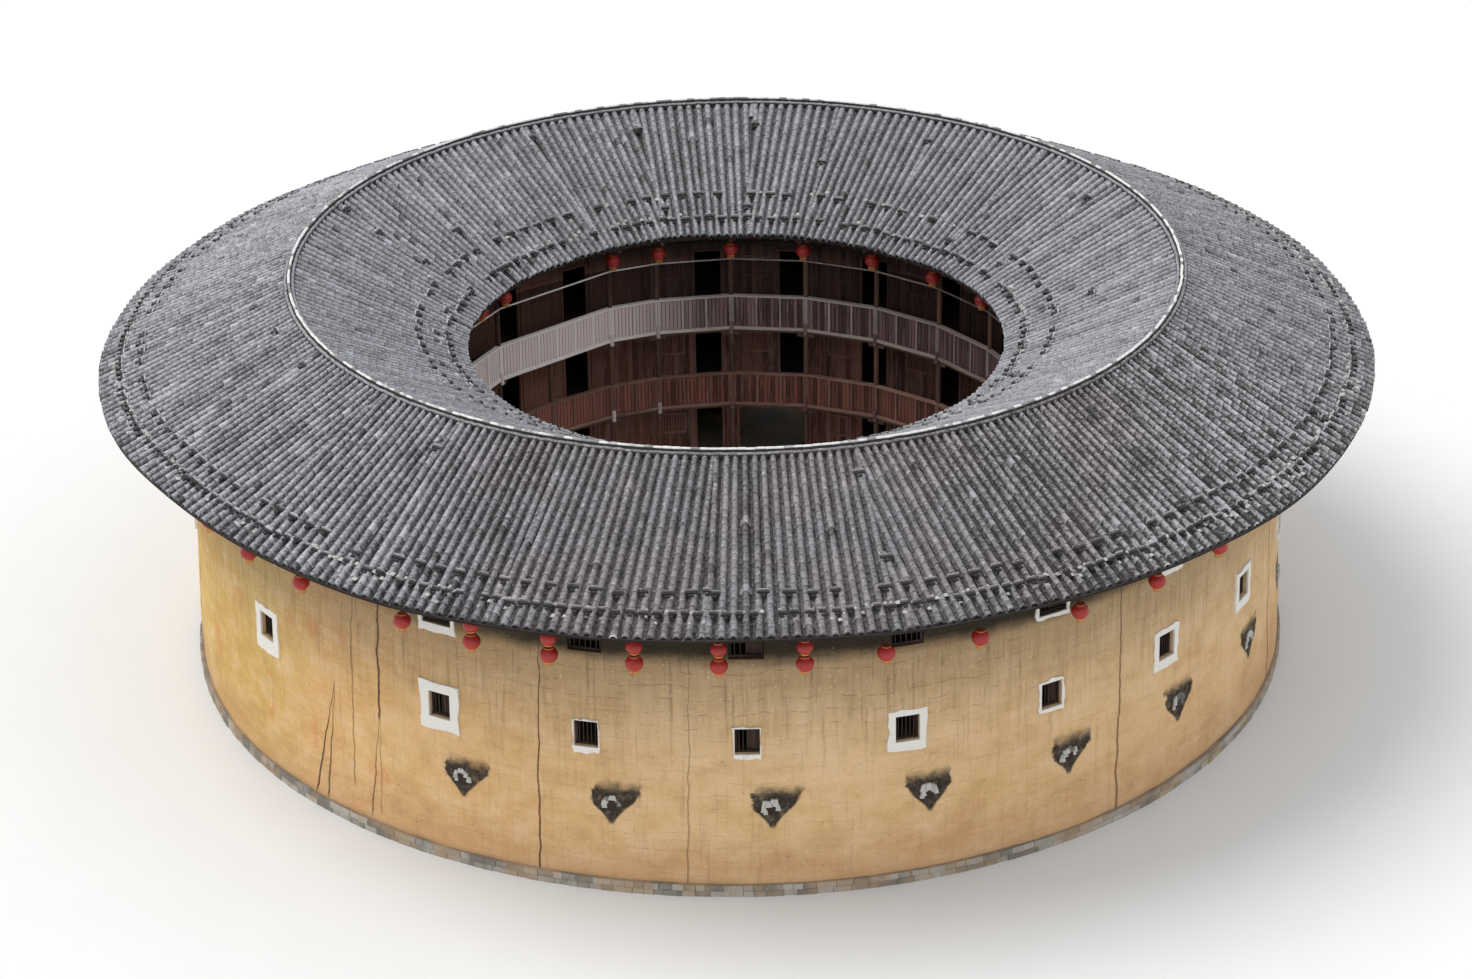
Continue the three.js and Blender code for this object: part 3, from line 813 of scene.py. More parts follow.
def add_tiles(shapes, slope, seam_from, seam_to, heading):
    """A group's tiles, shared out to the sectors. Gives the places where a column ends at a seam."""
    outward, courses = slope.outward, slope.courses
    runs, sides, near, far, bearing, present = lay_out_group(slope, seam_from, seam_to, heading)
    columns = len(runs)
    column, row = np.nonzero(present)
    count = len(column)
    near, far, bearing = near[column, row], far[column, row], bearing[column, row]
    # The tile of each column that is nearest the axis, where that is at a seam
    inward = outward * np.arange(courses + 1)
    inmost = np.where(present, inward, -courses - 2).max(1)
    at_seam = (inward[row] == inmost[column]) & ((row < courses - 1) if outward > 0 else (row > 1))
    # Chance: a column and a tile in it stray to the side, rise and darken, and some tiles have a limed mouth
    side = sides[column] + rng.normal(0, 0.007, columns)[column] + rng.normal(0, 0.004, count)
    lift = rng.normal(0, 0.004, count)
    tone = np.clip(rng.normal(0.5, 0.05, count) + rng.normal(0, 0.05, columns)[column], 0, 1)
    luck = rng.random(count)
    tone = np.where(luck > 0.992, 0.2, np.where(luck < 0.01, 0.8, tone)) - 0.08 * (row < 2) * (outward > 0)
    limed = rng.random(count) < LIMED_SHARE
    eave_drift = rng.normal(0, 0.012, columns)[column][:, None]
    turn = np.radians(runs[column])[:, None]

    def strip(radius, extra):
        """The points across each tile at a radius, with their height raised by extra."""
        narrowing = 1 - slope.fan * (slope.high - radius) / slope.high
        lateral = side[:, None] + TILE_SECTION[:, 0] * slope.column_width * narrowing
        along = np.sqrt(np.maximum(radius**2 - lateral**2, 0.01))
        x = along * np.sin(turn) + lateral * np.cos(turn)
        y = -along * np.cos(turn) + lateral * np.sin(turn)
        z = slope.top(radius) + TILE_BED + TILE_SECTION[:, 1] + extra
        return np.stack([x, y, np.broadcast_to(z, x.shape)], -1)

    # A sheet from its lower end to its upper one, and a riser that closes the lower end
    first = (row == 0)[:, None]
    foot = near[:, None] + outward * first * (eave_drift - 0.05 * GULLY)
    lower = strip(foot, lift[:, None] + TILE_STEP)
    upper = strip(far[:, None] - outward * slope.pitch * OVERLAP, lift[:, None])
    skirt = strip(foot, np.where(first, -0.03, -0.008))
    sheets = settled(np.stack([lower, upper], 1))
    risers = settled(np.stack([skirt, lower], 1))
    grains = np.zeros_like(sheets)
    grains[:, 1, :, 2] = 1
    quads = grid_faces(2, len(TILE_SECTION))[:, ::-outward]
    strips = tone[:, None] + SECTION_TONES
    # Painted shade at the eave: the gullies' mouths are near black and the covers' ends darker; above the
    # eave, a painted highlight makes each riser a little lighter
    eave_end_shade = np.where(SECTION_TONES < -0.2, -0.9, -0.22)
    ends = strips + np.where(first, eave_end_shade, 0.05)
    ends = np.where(limed[:, None] & (SECTION_TONES > -0.1), LIME_TONE, ends)
    sector = (bearing % 360 // (360 / SECTORS)).astype(int)
    for k, shape in enumerate(shapes):
        mine = sector == k
        faces = (np.arange(mine.sum())[:, None, None] * 2 * len(TILE_SECTION) + quads).reshape(-1, 4)
        shape.add(sheets[mine], faces, strips[mine].ravel(), grains[mine])
        shape.add(risers[mine], faces, ends[mine].ravel(), np.full_like(risers[mine], 0.5))
    return bearing[at_seam], (near + far)[at_seam] / 2


def add_weights(shape, slope, turns, radii, wide):
    """Bricks across the tiles, each with near-black blocks below it, painted shadow in the mouth of the tile
    it props.
    """
    foot = slope.top(radii) + TILE_BED + 0.05
    tones = rng.uniform(0.4, 0.9, len(turns))
    shape.blocks(turns, radii - 0.02, radii + 0.02, wide, foot, foot + 0.08, taper=0.1, tones=tones)
    # Painted shadow: near-black blocks just downslope of each brick
    for down, share, deep in ((0.06, 0.95, 0.04), (0.15, 0.4, 0.05)):
        lower = radii + slope.outward * down
        foot = slope.top(lower) + TILE_BED + 0.05
        shape.blocks(turns, lower - deep, lower + deep, wide * share, foot, foot + 0.06, tones=-1.0)


def build_roof_slope(slope):
    """A piece of tiles for each sector, and where a column ends at a seam, a mark of bedding built as a
    brick over painted shadow.
    """
    shapes = [Shape() for _ in range(SECTORS)]
    marks = Shape()
    for start, end in zip(slope.seams, slope.seams[1:] + (slope.seams[0] + 360,)):
        heading = slope.headings.get(start, (start + end) / 2)
        turns, radii = add_tiles(shapes, slope, start, end, heading)
        chosen = rng.random(len(turns)) < 0.6
        add_weights(marks, slope, turns[chosen], radii[chosen], rng.uniform(0.22, 0.38, chosen.sum()))
    marks.settle()
    marks.build(f"{slope.name}_seam_marks", tile, "roof_tile")
    for k, shape in enumerate(shapes, 1):
        shape.build(f"{slope.name}_tiles_{k:02d}", tile, "roof_tile", [f"{slope.name}_{k:02d}"], smooth=True)


def build_roof_boards():
    """Boarding under the tiles, and on it the dark mud bed that shows in the gaps between them."""
    outer, inner = EAVE_RADIUS - 0.06, INNER_EAVE_RADIUS + 0.06
    line = [(outer, OUTER_SLOPE.top(outer)), (RIDGE_RADIUS, SLAB_TOP), (inner, INNER_SLOPE.top(inner))]
    for name, material, slot, top, foot, tone in (
        ("roof_bedding", tile, "roof_tile", -0.125, -0.14, -0.2),
        ("roof_boarding", dark_timber, "dark_timber", -0.14, -0.16, 0.2),
    ):
        above, below = ([(radius, height + shift) for radius, height in line] for shift in (top, foot))
        shape = Shape()
        shape.ring([below[0], *above, *below[:0:-1]], 360, tone)
        shape.settle()
        shape.build(name, material, slot)


def build_rafters():
    """Rafters under both slopes, with a fascia on the ends of each."""
    rafters, fascias = Shape(), Shape()
    below, width, depth, thick = 0.15, 0.085, 0.11, 0.03
    for slope, count, low, high, tall, steps in (
        (OUTER_SLOPE, 240, WALL_INNER_RADIUS + 0.9, EAVE_RADIUS - 0.12, 0.15, 360),
        (INNER_SLOPE, 130, INNER_EAVE_RADIUS + 0.1, FRONT_RADIUS + 0.5, 0.12, 240),
    ):
        turns = evenly(count) + rng.normal(0, 0.1, count)
        foot = slope.top(low) - below - depth
        tones = rng.uniform(0.3, 0.7, count)
        rise = slope.top(high) - slope.top(low)
        rafters.blocks(turns, low, high, width, foot, foot + depth, rise=rise, tones=tones, grain="radial")
        face = slope.eave - slope.outward * 0.075
        near, far = sorted((face, face - slope.outward * thick))
        edge = slope.top(face) - 0.085
        # The fascias' low tone is painted shade under the eave
        fascias.ring(rectangle(near, far, edge - tall, edge), steps, -0.4)
    rafters.settle()
    fascias.settle()
    rafters.build("rafters", dark_timber, "dark_timber")
    fascias.build("eave_fascias", eave_shade_timber, "weathered_timber")


def on_ridge(section, side):
    """A section on the ridge's outer side (1), or mirrored on its inner side (-1), kept anticlockwise."""
    return [(RIDGE_RADIUS + side * out, SLAB_TOP + up) for out, up in section][::side]


def build_ridge():
    """A plastered roll over a bank of bedding, with a course of covers on each side; the bank is painted
    near black for its shade and dirt.
    """
    bank, roll = Shape(), Shape()
    bed = 0.07
    bedding = [(0.168, -0.13), (0.165, -0.04), (0.05, -0.02), (0.04, bed), (0.0, bed), (0.0, -0.13)]
    covers = [(0.145, -0.06), (0.147, -0.015), (0.12, 0.008), (0.085, 0.015), (0.065, 0.005), (0.065, -0.05)]
    for side in (1, -1):
        # Painted shade and dirt: the bank's tone is near black
        bank.ring(on_ridge(bedding, side), 720, -0.6)
        bank.ring(on_ridge(covers, side), 720, 0.55, wobble=0.006)
    bank.build("ridge_bedding", tile, "roof_tile")
    # The roll's lengths overlap, so each is thinner at its start
    count = 330
    step = 360 / count
    half = [(0.04, 0.0), (0.036, 0.022), (0.02, 0.04)]
    profile = np.array(half + [(-out, up) for out, up in half[::-1]])
    bearings = (np.arange(count)[:, None] * step + np.array([0.0, 0.06, 0.5, 0.94]) * step).ravel()
    size = np.tile([0.72, 1.0, 1.04, 1.0], count) * (1 + np.repeat(rng.normal(0, 0.05, count), 4))
    lean = np.repeat(rng.normal(0, 0.006, count), 4)
    radii = RIDGE_RADIUS + lean[:, None] + profile[:, 0] * size[:, None]
    heights = SLAB_TOP + bed + profile[:, 1] * size[:, None]
    tones = np.repeat(np.clip(rng.normal(0.4, 0.45, count), -0.3, 1), 4 * (len(profile) - 1))
    roll.add(place(radii, bearings[:, None], heights), grid_faces(len(bearings), len(profile), True), tones)
    roll.build("ridge_roll", ridge_plaster, "ridge_plaster", ["ridge_cap"], smooth=True)


def scattered(step, stray, share):
    """Bearings round the house, a step apart and straying by a part of it, of which a share is kept."""
    count = round(360 / step)
    turns = evenly(count) + rng.normal(0, step * stray, count)
    return turns[rng.random(count) < share]


def build_tile_weights():
    """Rows of bricks near the eaves, each over painted shadow in a propped tile's mouth, and dabs of lime
    mortar.
    """
    weights, dabs = Shape(), Shape()
    for slope, radius, step, share, wide in (
        (OUTER_SLOPE, EAVE_RADIUS - 1.34, 2.05, 0.94, 0.34),
        (OUTER_SLOPE, EAVE_RADIUS - 0.74, 1.13, 0.9, 0.24),
        (INNER_SLOPE, INNER_EAVE_RADIUS + 1.57, 3.4, 0.85, 0.32),
        (INNER_SLOPE, INNER_EAVE_RADIUS + 0.66, 2.6, 0.85, 0.26),
    ):
        turns = scattered(step, 0.04, share)
        radii = radius + rng.normal(0, 0.025, len(turns))
        add_weights(weights, slope, turns, radii, rng.uniform(wide - 0.05, wide + 0.05, len(turns)))
    for slope, radius, step, stray in (
        (OUTER_SLOPE, EAVE_RADIUS - 0.78, 0.55, 0.03),
        (OUTER_SLOPE, EAVE_RADIUS - 0.5, 1.4, 0.07),
        (INNER_SLOPE, INNER_EAVE_RADIUS + 0.75, 2.2, 0.08),
        (INNER_SLOPE, INNER_EAVE_RADIUS + 1.6, 3.0, 0.08),
    ):
        turns = scattered(step, 0.2, 0.65)
        n = len(turns)
        at = radius + rng.normal(0, stray, n)
        size = rng.uniform(0.08, 0.16, n)
        foot = slope.top(at) + TILE_BED + 0.04
        tones = rng.uniform(0, 1, n)
        dabs.blocks(turns, at - size / 2, at + size / 2, size, foot, foot + 0.04, taper=0.5, tones=tones)
    weights.settle()
    dabs.settle()
    weights.build("tile_weights", tile, "roof_tile")
    dabs.build("mortar_dabs", mortar, "ridge_plaster")


def wall_relief(bearing, height):
    """How far the wall's face stands out: long swells, and a slight step at each rammed lift."""
    turn = np.radians(bearing)
    relief = -0.012 * (height * LIFTS_PER_METRE % 1) - 0.016
    for count, twist, start, out in WALL_SWELLS:
        relief = relief + out * np.sin(count * turn + twist * height + start)
    return relief


def wall_face(bearing, height):
    """Points of the wall's outer face."""
    return place(wall_radius(height) + wall_relief(bearing, height), bearing, height)


def with_marks(steps, marks, gap):
    """Even steps and marks in one order, without the steps that lie within the gap of a mark."""
    apart = gap_between(steps[:, None], marks).min(1)
    return np.sort(np.concatenate([steps[apart > gap], marks]))


def in_opening(bearing, height, cuts):
    """Whether places of the wall lie in an opening, given as half an arc, a sill, a head and middles."""
    inside = np.zeros(len(bearing), bool)
    for half, sill, head, middles in cuts:
        inside |= (gap_between(bearing[:, None], middles).min(1) < half) & (height > sill) & (height < head)
    return inside


def open_grid(turns, heights, cuts):
    """A grid of bearings and heights round the wall, and its faces outside the openings."""
    faces = grid_faces(len(turns), len(heights), True)
    i, j = np.divmod(np.arange(len(faces)), len(heights) - 1)
    middle_turn = turns[i] + (np.roll(turns, -1) - turns)[i] % 360 / 2
    middle_height = (heights[j] + heights[j + 1]) / 2
    grid = np.meshgrid(turns, heights, indexing="ij")
    return *grid, faces[~in_opening(middle_turn, middle_height, cuts)]


def half_arc(width, radius):
    """Half the angle that a straight width takes at a radius."""
    return math.degrees(math.asin(width / 2 / radius))


def build_wall():
    """The earth wall with its windows cut through, from the footing to the roof's underside."""
    gate = room_middles[GATE_ROOM]
    cuts = [
        (half_arc(w.width, wall_radius((w.sill + w.head) / 2)), w.sill, w.head, room_middles[w.rooms])
        for w in WINDOWS
    ]
    gate_cut = (half_arc(GATE_SPAN, WALL_FOOT_RADIUS), 0.0, GATE_TOP, np.array([gate]))
    sides = [middles + end for half, _, _, middles in (*cuts, gate_cut) for end in (-half, half)]
    turns = with_marks(np.arange(0, 360, 0.6), np.sort(np.concatenate(sides) % 360), 0.2)
    marks = np.array([FOOTING_TOP, GATE_TOP, *WINDOWS[0][1:3], *WINDOWS[1][1:3], WALL_TOP])
    heights = with_marks(np.arange(FOOTING_TOP, WALL_TOP, 0.15), marks, 0.05)
    shape = Shape()
    t, z, faces = open_grid(turns, heights, (*cuts, gate_cut))
    shape.add(wall_face(t, z), faces)
    # The sloping head up to the roof, and the inner face
    inner_head = OUTER_SLOPE.top(WALL_INNER_RADIUS) - ROOF_DEPTH - 0.01
    radii, tops = np.array([WALL_HEAD_RADIUS, WALL_INNER_RADIUS]), np.array([WALL_TOP, inner_head])
    shape.add(place(radii, turns[:, None], tops), grid_faces(len(turns), 2, True))
    t, z, faces = open_grid(turns, np.append(marks[:-1], inner_head), (*cuts, gate_cut))
    shape.add(place(WALL_INNER_RADIUS, t, z), faces[:, ::-1])
    # Reveals of the windows
    reveal = [[k, (k + 1) % 4, (k + 1) % 4 + 4, k + 4] for k in range(4)]
    for half, sill, head, middles in cuts:
        for middle in middles:
            corners = rectangle(middle - half, middle + half, sill, head)
            outside = [wall_face(*corner) for corner in corners]
            inside = [place(WALL_INNER_RADIUS, *corner) for corner in corners]
            shape.add(outside + inside, reveal)
    names = [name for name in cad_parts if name.startswith("outer_wall")] + ["wall_over_gate"]
    shape.build("earth_wall", earth, "rammed_earth", names)


def build_surrounds():
    """Hand-laid lime plaster round most windows, and a wooden frame with bars in each."""
    plaster, bars = Shape(), Shape()
    for window in WINDOWS:
        for room in window.rooms:
            usual = 0.2 if room % 3 != 1 else 0.08
            bands = window.surrounds.get(room, (usual, usual, usual * 0.8, usual * 1.4))
            if bands:
                add_surround(plaster, room_middles[room], window, bands)
            add_window_bars(bars, room_middles[room], window, shuttered=room % 2 == 0)
    plaster.build("window_surrounds", white_plaster, "white_plaster")
    bars.build("window_bars", dark_timber, "dark_timber")


def outline_points(left, right, bottom, top, unevenness=0.0):
    """Points round a rectangle, anticlockwise, six to a side, shaken by unevenness."""
    share = np.arange(6) / 6
    corners = np.array(rectangle(left, right, bottom, top))
    sides = [corners[k] + share[:, None] * (corners[(k + 1) % 4] - corners[k]) for k in range(4)]
    points = np.concatenate(sides)
    return points + rng.normal(0, unevenness, points.shape) if unevenness else points


def add_surround(shape, middle, window, bands):
    """A raised band of plaster round a window, with a lip into its opening."""
    width, sill, head = window[:3]
    left, right, above, below = bands
    edge, proud = 0.005, 0.03
    inner = outline_points(-width / 2 + edge, width / 2 - edge, sill + edge, head - edge)
    outer = outline_points(-width / 2 - left, width / 2 + right, sill - below, head + above, 0.02)
    rings = []
    sections = ((inner, -0.035, 1), (inner, proud, 1), (outer, proud * 0.9, 0.985), (outer, -0.05, 1))
    for outline, out, shrink in sections:
        across, height = outline.T
        bearing = middle + across * shrink / WALL_METRES_PER_DEGREE
        rings.append(place(wall_radius(height) + out, bearing, height))
    tone = 0.5 if max(bands) > 0.15 else 0.3
    shape.add(rings, grid_faces(len(rings), len(inner), False, True), tone)


def spread(count):
    """Places of bars that are spread evenly over a width, as shares of it from its middle."""
    return np.arange(1, count + 1) / (count + 1) - 0.5


def add_window_bars(shape, middle, window, shuttered):
    """A wooden frame set back in the opening, with upright bars, and half a shutter behind some."""
    width, sill, head = window[:3]
    back = wall_radius((sill + head) / 2) - 0.13
    thick, bars = 0.06, 5
    wide = width - 0.03
    low, high = sill + 0.01, head - 0.01
    sides = np.array([-1, 1]) * (wide - thick) / 2
    feet = np.array([low, high - thick])
    shape.blocks(middle, back - 0.05, back, thick, low, high, across=sides, tones=-0.1)
    shape.blocks(middle, back - 0.05, back + 0.01, wide, feet, feet + thick, tones=-0.1, grain="across")
    shape.blocks(middle, back - 0.04, back - 0.012, 0.025, low, high, across=spread(bars) * wide, tones=0.1)
    if shuttered:
        shape.blocks(middle, back - 0.1, back - 0.07, wide / 2, low, high, across=wide / 4, tones=0.3)


def build_vents():
    """Small kitchen vents of the first two runs: a dark block, painted shade of the hole, under a rough arch
    of mortar lumps.
    """
    hoods, holes = Shape(), Shape()
    radius = wall_radius(VENT_HEIGHT)
    low, high = VENT_HEIGHT - 0.17, VENT_HEIGHT + 0.12
    kitchens = [room for room in range(RUNS[0][0] + RUNS[1][0]) if room != GATE_ROOM]
    lumps = 8
    for turn in room_middles[kitchens] + VENT_OFFSET:
        lean = np.radians(np.linspace(-105, 80, lumps) + rng.normal(0, 6, lumps))
        reach = rng.uniform(0.17, 0.24, lumps)
        size = rng.uniform(0.1, 0.2, lumps)
        foot = VENT_HEIGHT + reach * np.cos(lean) * 1.1 - size / 2
        face = radius + rng.uniform(0.02, 0.06, lumps)
        side = reach * np.sin(lean) - 0.02
        tones = rng.uniform(0.0, 0.9, lumps)
        hoods.blocks(turn, radius - 0.06, face, size, foot, foot + size, across=side, taper=0.4, tones=tones)
        # Painted shade: a dark block on the wall stands for the shaded inside of the hole
        holes.blocks(turn, radius - 0.05, radius + 0.012, 0.24, low, high, tones=0.0)
    hoods.build("vent_hoods", mortar, "white_plaster")
    holes.build("vent_hole_shade", dark_timber, "dark_timber")


def build_footing():
    """Rough stones in two courses, each with its own size and face, over a bed."""
    shape = Shape()
    courses = 2
    height = FOOTING_TOP / courses
    gate = room_middles[GATE_ROOM]
    gate_half = math.degrees(GATE_SPAN / 2 / FOOTING_RADIUS) + 0.1
    for course in range(courses):
        arcs = np.degrees(rng.uniform(0.35, 0.75, 260) / FOOTING_RADIUS)
        arcs *= 360 / arcs.sum()
        middles = np.cumsum(arcs) - arcs / 2
        keep = gap_between(middles, gate) > gate_half + arcs / 2
        face = FOOTING_RADIUS + rng.uniform(-0.03, -0.004, keep.sum())
        width = np.radians(arcs[keep]) * FOOTING_RADIUS - 0.012
        tones = rng.uniform(0, 1, keep.sum())
        near, foot = FOOTING_RADIUS - 0.5, course * height
        shape.blocks(middles[keep], near, face, width, foot, foot + height - 0.008, tones=tones)
    bed = np.array(rectangle(WALL_INNER_RADIUS, FOOTING_RADIUS - 0.06, 0.002, FOOTING_TOP - 0.004))
    turns = gate + gate_half + np.linspace(0, 360 - 2 * gate_half, 300)
    points = place(bed[:, 0], turns[:, None], bed[:, 1])
    shape.add(points, grid_faces(len(turns), len(bed), False, True), 0.1)
    names = [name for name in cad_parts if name.startswith("stone_footing")]
    shape.build("footing_stones", stone, "stone", names)


def build_galleries():
    """Posts and beams of the three storeys, and the balustrades of the upper two."""
    frames = Shape()
    names = [f"gallery_frame_{storey}" for storey, *_ in STOREYS]
    for name, (_, floor, ceiling, edges, between) in zip(names, STOREYS):
        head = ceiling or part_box(name)[1].z
        add_posts(frames, edges, floor, head)
        frames.beam(between, BEAM_RADIUS, BEAM_RADIUS + 0.15, head - 0.2, head)
    frames.build("gallery_posts_and_beams", dark_timber, "dark_timber", names)
    build_balustrade(STOREYS[1], red_timber, rail_timber, "dark_timber")
    build_balustrade(STOREYS[2], grey_timber, pale_timber, "weathered_timber")


def add_posts(shape, edges, floor, head):
    """Round posts, a little thicker at the foot, with a short bracket on each side of the head."""
    tall = head - floor
    foot = [(0.088, 0.0), (0.09, 0.05), (0.084, 0.1)]
    profile = [*foot, (0.082, tall * 0.6), (0.076, tall - 0.22), (0.082, tall - 0.2)]
    for centre in place(POST_RADIUS, edges, floor):
        shape.lathe(centre, profile, 12, rng.uniform(0.3, 0.8))
    near, far = POST_RADIUS - 0.035, POST_RADIUS + 0.035
    for across in (-0.15, 0.15):
        shape.blocks(edges, near, far, 0.28, head - 0.33, head - 0.2, across=across, grain="across")


def build_balustrade(storey, board, trim, slot):
    """Upright boards from post to post and down over the floor's edge, with battens and rails over them."""
    boards, rails = Shape(), Shape()
    name = f"balustrade_{storey[0]}"
    _, floor, _, _, between = storey
    rail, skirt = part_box(name)[1].z, floor - 0.2
    for start, end in between:
        bearing, radius, length = flat_side(BALUSTRADE_RADIUS, start, end)
        face = radius - 0.05
        covered = length - 0.04
        count = max(3, round(covered / 0.125))
        pitch = covered / count
        across = (np.arange(count) + 0.5) * pitch - covered / 2
        tones = rng.normal(0.5, 0.3, count)
        near, far = face - rng.uniform(0, 0.006, count), face + 0.02
        boards.blocks(bearing, near, far, pitch - 0.018, skirt, rail - 0.05, across=across, tones=tones)
        battens = max(1, round(length / 0.78))
        across = (np.arange(battens + 1) / battens - 0.5) * (covered - 0.06)
        rails.blocks(bearing, face - 0.04, face - 0.002, 0.06, skirt, rail - 0.03, across=across)
        handrail = (radius + 0.05, rail - 0.06, rail)
        foot_rail = (face + 0.03, skirt - 0.06, skirt + 0.04)
        for far, foot, top in (handrail, foot_rail):
            tone = rng.uniform(0.5, 0.9)
            rails.blocks(bearing, face - 0.05, far, length, foot, top, tones=tone, grain="across")
    boards.build(name + "_boards", board, slot, [name])
    rails.build(name + "_rails", trim, slot)


def build_floor_edges():
    """Joists under the two upper floors, and the turned ends of the posts that hang below each."""
    joists, drops = Shape(), Shape()
    turns = evenly(JOISTS) + 1.3
    drop = [(0.03, 0.0), (0.07, 0.05), (0.075, 0.1), (0.05, 0.14), (0.07, 0.18), (0.07, DROP_LENGTH)]
    for _, floor, _, edges, _ in STOREYS[1:]:
        top = floor - FLOOR_DEPTH - 0.002
        foot = floor - FLOOR_DEPTH - 0.1
        joists.blocks(turns, JOIST_RADIUS, FRONT_RADIUS, 0.09, foot, top, tones=0.4, grain="radial")
        for turn in edges:
            drops.lathe(place(POST_RADIUS - 0.1, turn, floor - DROP_LENGTH), drop, 12, 0.6)
    joists.build("floor_joists", dark_timber, "dark_timber")
    drops.build("post_drops", grey_timber, "weathered_timber")


# Doorways of the rooms and of the gate hall: left and right edge from the bay's middle, and height
ROOM_DOOR = (-1.075, -0.225, 1.9)
HALL_DOOR = (-1.15, 1.15, 2.25)


def build_room_fronts():
    """Boarded fronts with a doorway and a barred window to each room."""
    for storey, floor, ceiling, *_ in STOREYS:
        name = f"room_front_{storey}"
        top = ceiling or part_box(name)[1].z
        boards, trims = Shape(), Shape()
        for bay in bays:
            door = ROOM_DOOR if bay[2] == "room" else None
            if storey == "ground" and bay == room_bays[GATE_ROOM]:
                door = HALL_DOOR
            add_front(boards, trims, bay, floor, top, door)
        boards.build(name + "_boards", front_timber, "dark_timber", [name])
        trims.build(name + "_trim", front_timber, "dark_timber")


def board_pieces(left, right, door):
    """A board's (left, right, foot above the floor): whole, or beside and over a doorway."""
    overlap = 0.01
    if not door or right <= door[0] + overlap or left >= door[1] - overlap:
        return [(left, right, 0)]
    low, high, lintel = door
    beside = [(left, low, 0)] * (left < low) + [(high, right, 0)] * (right > high)
    return [*beside, (max(left, low), min(right, high), lintel)]


def add_front(boards, trims, bay, floor, top, door):
    """One bay's front: boards, then the frames of its doorway and window, a rail, and a post at each end."""
    start, end, _ = bay
    bearing, radius, length = flat_side(FRONT_RADIUS, start, end)
    back = radius + FRONT_DEPTH
    count = max(2, round(length / 0.17))
    pitch = length / count
    for left in np.arange(count) * pitch - length / 2:
        for low, high, foot in board_pieces(left, left + pitch, door):
            tone = np.clip(rng.normal(0.45, 0.2), 0, 1)
            width, middle = high - low - 0.006, (low + high) / 2
            foot += floor + 0.001
            boards.blocks(bearing, radius + 0.01, back - 0.01, width, foot, top, across=middle, tones=tone)
    foot = floor + 0.001
    if door:
        low, high, tall = door
        lintel = floor + tall
        near, sides = radius - 0.02, [low - 0.04, high + 0.04]
        middle, wide = (low + high) / 2, high - low
        trims.blocks(bearing, near, back, 0.08, foot, lintel + 0.08, across=sides, tones=0.6)
        low, high = lintel + 0.004, lintel + 0.084
        trims.blocks(bearing, near, back, wide, low, high, across=middle, tones=0.6, grain="across")
    if door == ROOM_DOOR:
        add_lattice(trims, bearing, radius, floor + 1.0)
    rail = floor + 2.15
    ends = [0.05 - length / 2, length / 2 - 0.05]
    trims.blocks(bearing, radius - 0.015, radius + 0.012, length, rail, rail + 0.1, grain="across")
    trims.blocks(bearing, radius - 0.03, back, 0.1, foot, top, across=ends, tones=0.4)


def add_lattice(shape, bearing, radius, sill):
    """A square window of upright bars in a frame, on a room's front beside its doorway."""
    middle, size, thick, bars = 0.55, 0.75, 0.06, 7
    near, far, head = radius - 0.03, radius + 0.01, sill + size
    sides = [middle - size / 2, middle + size / 2]
    feet = np.array([sill, head - thick])
    shape.blocks(bearing, near, far, thick, sill, head, across=sides, tones=0.8)
    shape.blocks(bearing, near, far, size, feet, feet + thick, across=middle, tones=0.8, grain="across")
    across = middle + spread(bars) * size
    shape.blocks(bearing, near + 0.01, far, 0.025, sill, head, across=across, tones=0.9)


# Purlins under the eaves, each as its near and far radius, and where the inner brackets end
OUTER_PURLIN = (18.24, 18.36)
INNER_PURLIN = (8.38, 8.5)
BRACKET_END = 9.16

# Poles between the top storey's posts
POLE_RADIUS = 9.12
POLE_HEIGHT = 8.03
POLE_HALF_WIDTH = 0.027


def build_eave_frames():
    """Cantilevered brackets and purlins under both eaves, and thin poles between the top storey's posts."""
    outer, inner, poles = Shape(), Shape(), Shape()
    low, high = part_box("outer_eave_frame")
    foot, purlin = low.z, low.z + 0.13
    near, far = OUTER_PURLIN
    wall, end = WALL_HEAD_RADIUS, far - 0.02
    outer.blocks(bay_edges, wall, end, 0.12, foot, foot + 0.15, grain="radial")
    outer.blocks(bay_middles, wall, end, 0.1, foot + 0.01, purlin, tones=0.4, grain="radial")
    outer.ring([(near, purlin), (far, purlin), (far, high.z - 0.03), (near, high.z)], 180)
    outer.settle()
    outer.build("outer_eave_timbers", dark_timber, "dark_timber", ["outer_eave_frame"])
    low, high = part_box("inner_eave_frame")
    near, far = INNER_PURLIN
    inner.blocks(top_edges, near - 0.04, BRACKET_END, 0.11, low.z, low.z + 0.15, grain="radial")
    inner.beam(spans, near, far, low.z + 0.13, high.z)
    inner.build("inner_eave_timbers", dark_timber, "dark_timber", ["inner_eave_frame"])
    for start, end in top_spans:
        add_pole(poles, place(POLE_RADIUS, start, POLE_HEIGHT), place(POLE_RADIUS, end, POLE_HEIGHT))
    poles.build("drying_poles", pale_timber, "weathered_timber")


def add_pole(shape, start, end):
    """A thin level pole with six sides."""
    along = (end - start) / np.linalg.norm(end - start)
    up = np.array([0, 0, 1])
    turn = np.linspace(0, 2 * np.pi, 6, endpoint=False)[:, None]
    loop = POLE_HALF_WIDTH * (np.cos(turn) * np.cross(along, up) + np.sin(turn) * up)
    shape.add([start + loop, end + loop], grid_faces(2, len(loop), False, True), rng.uniform(0.3, 0.9))


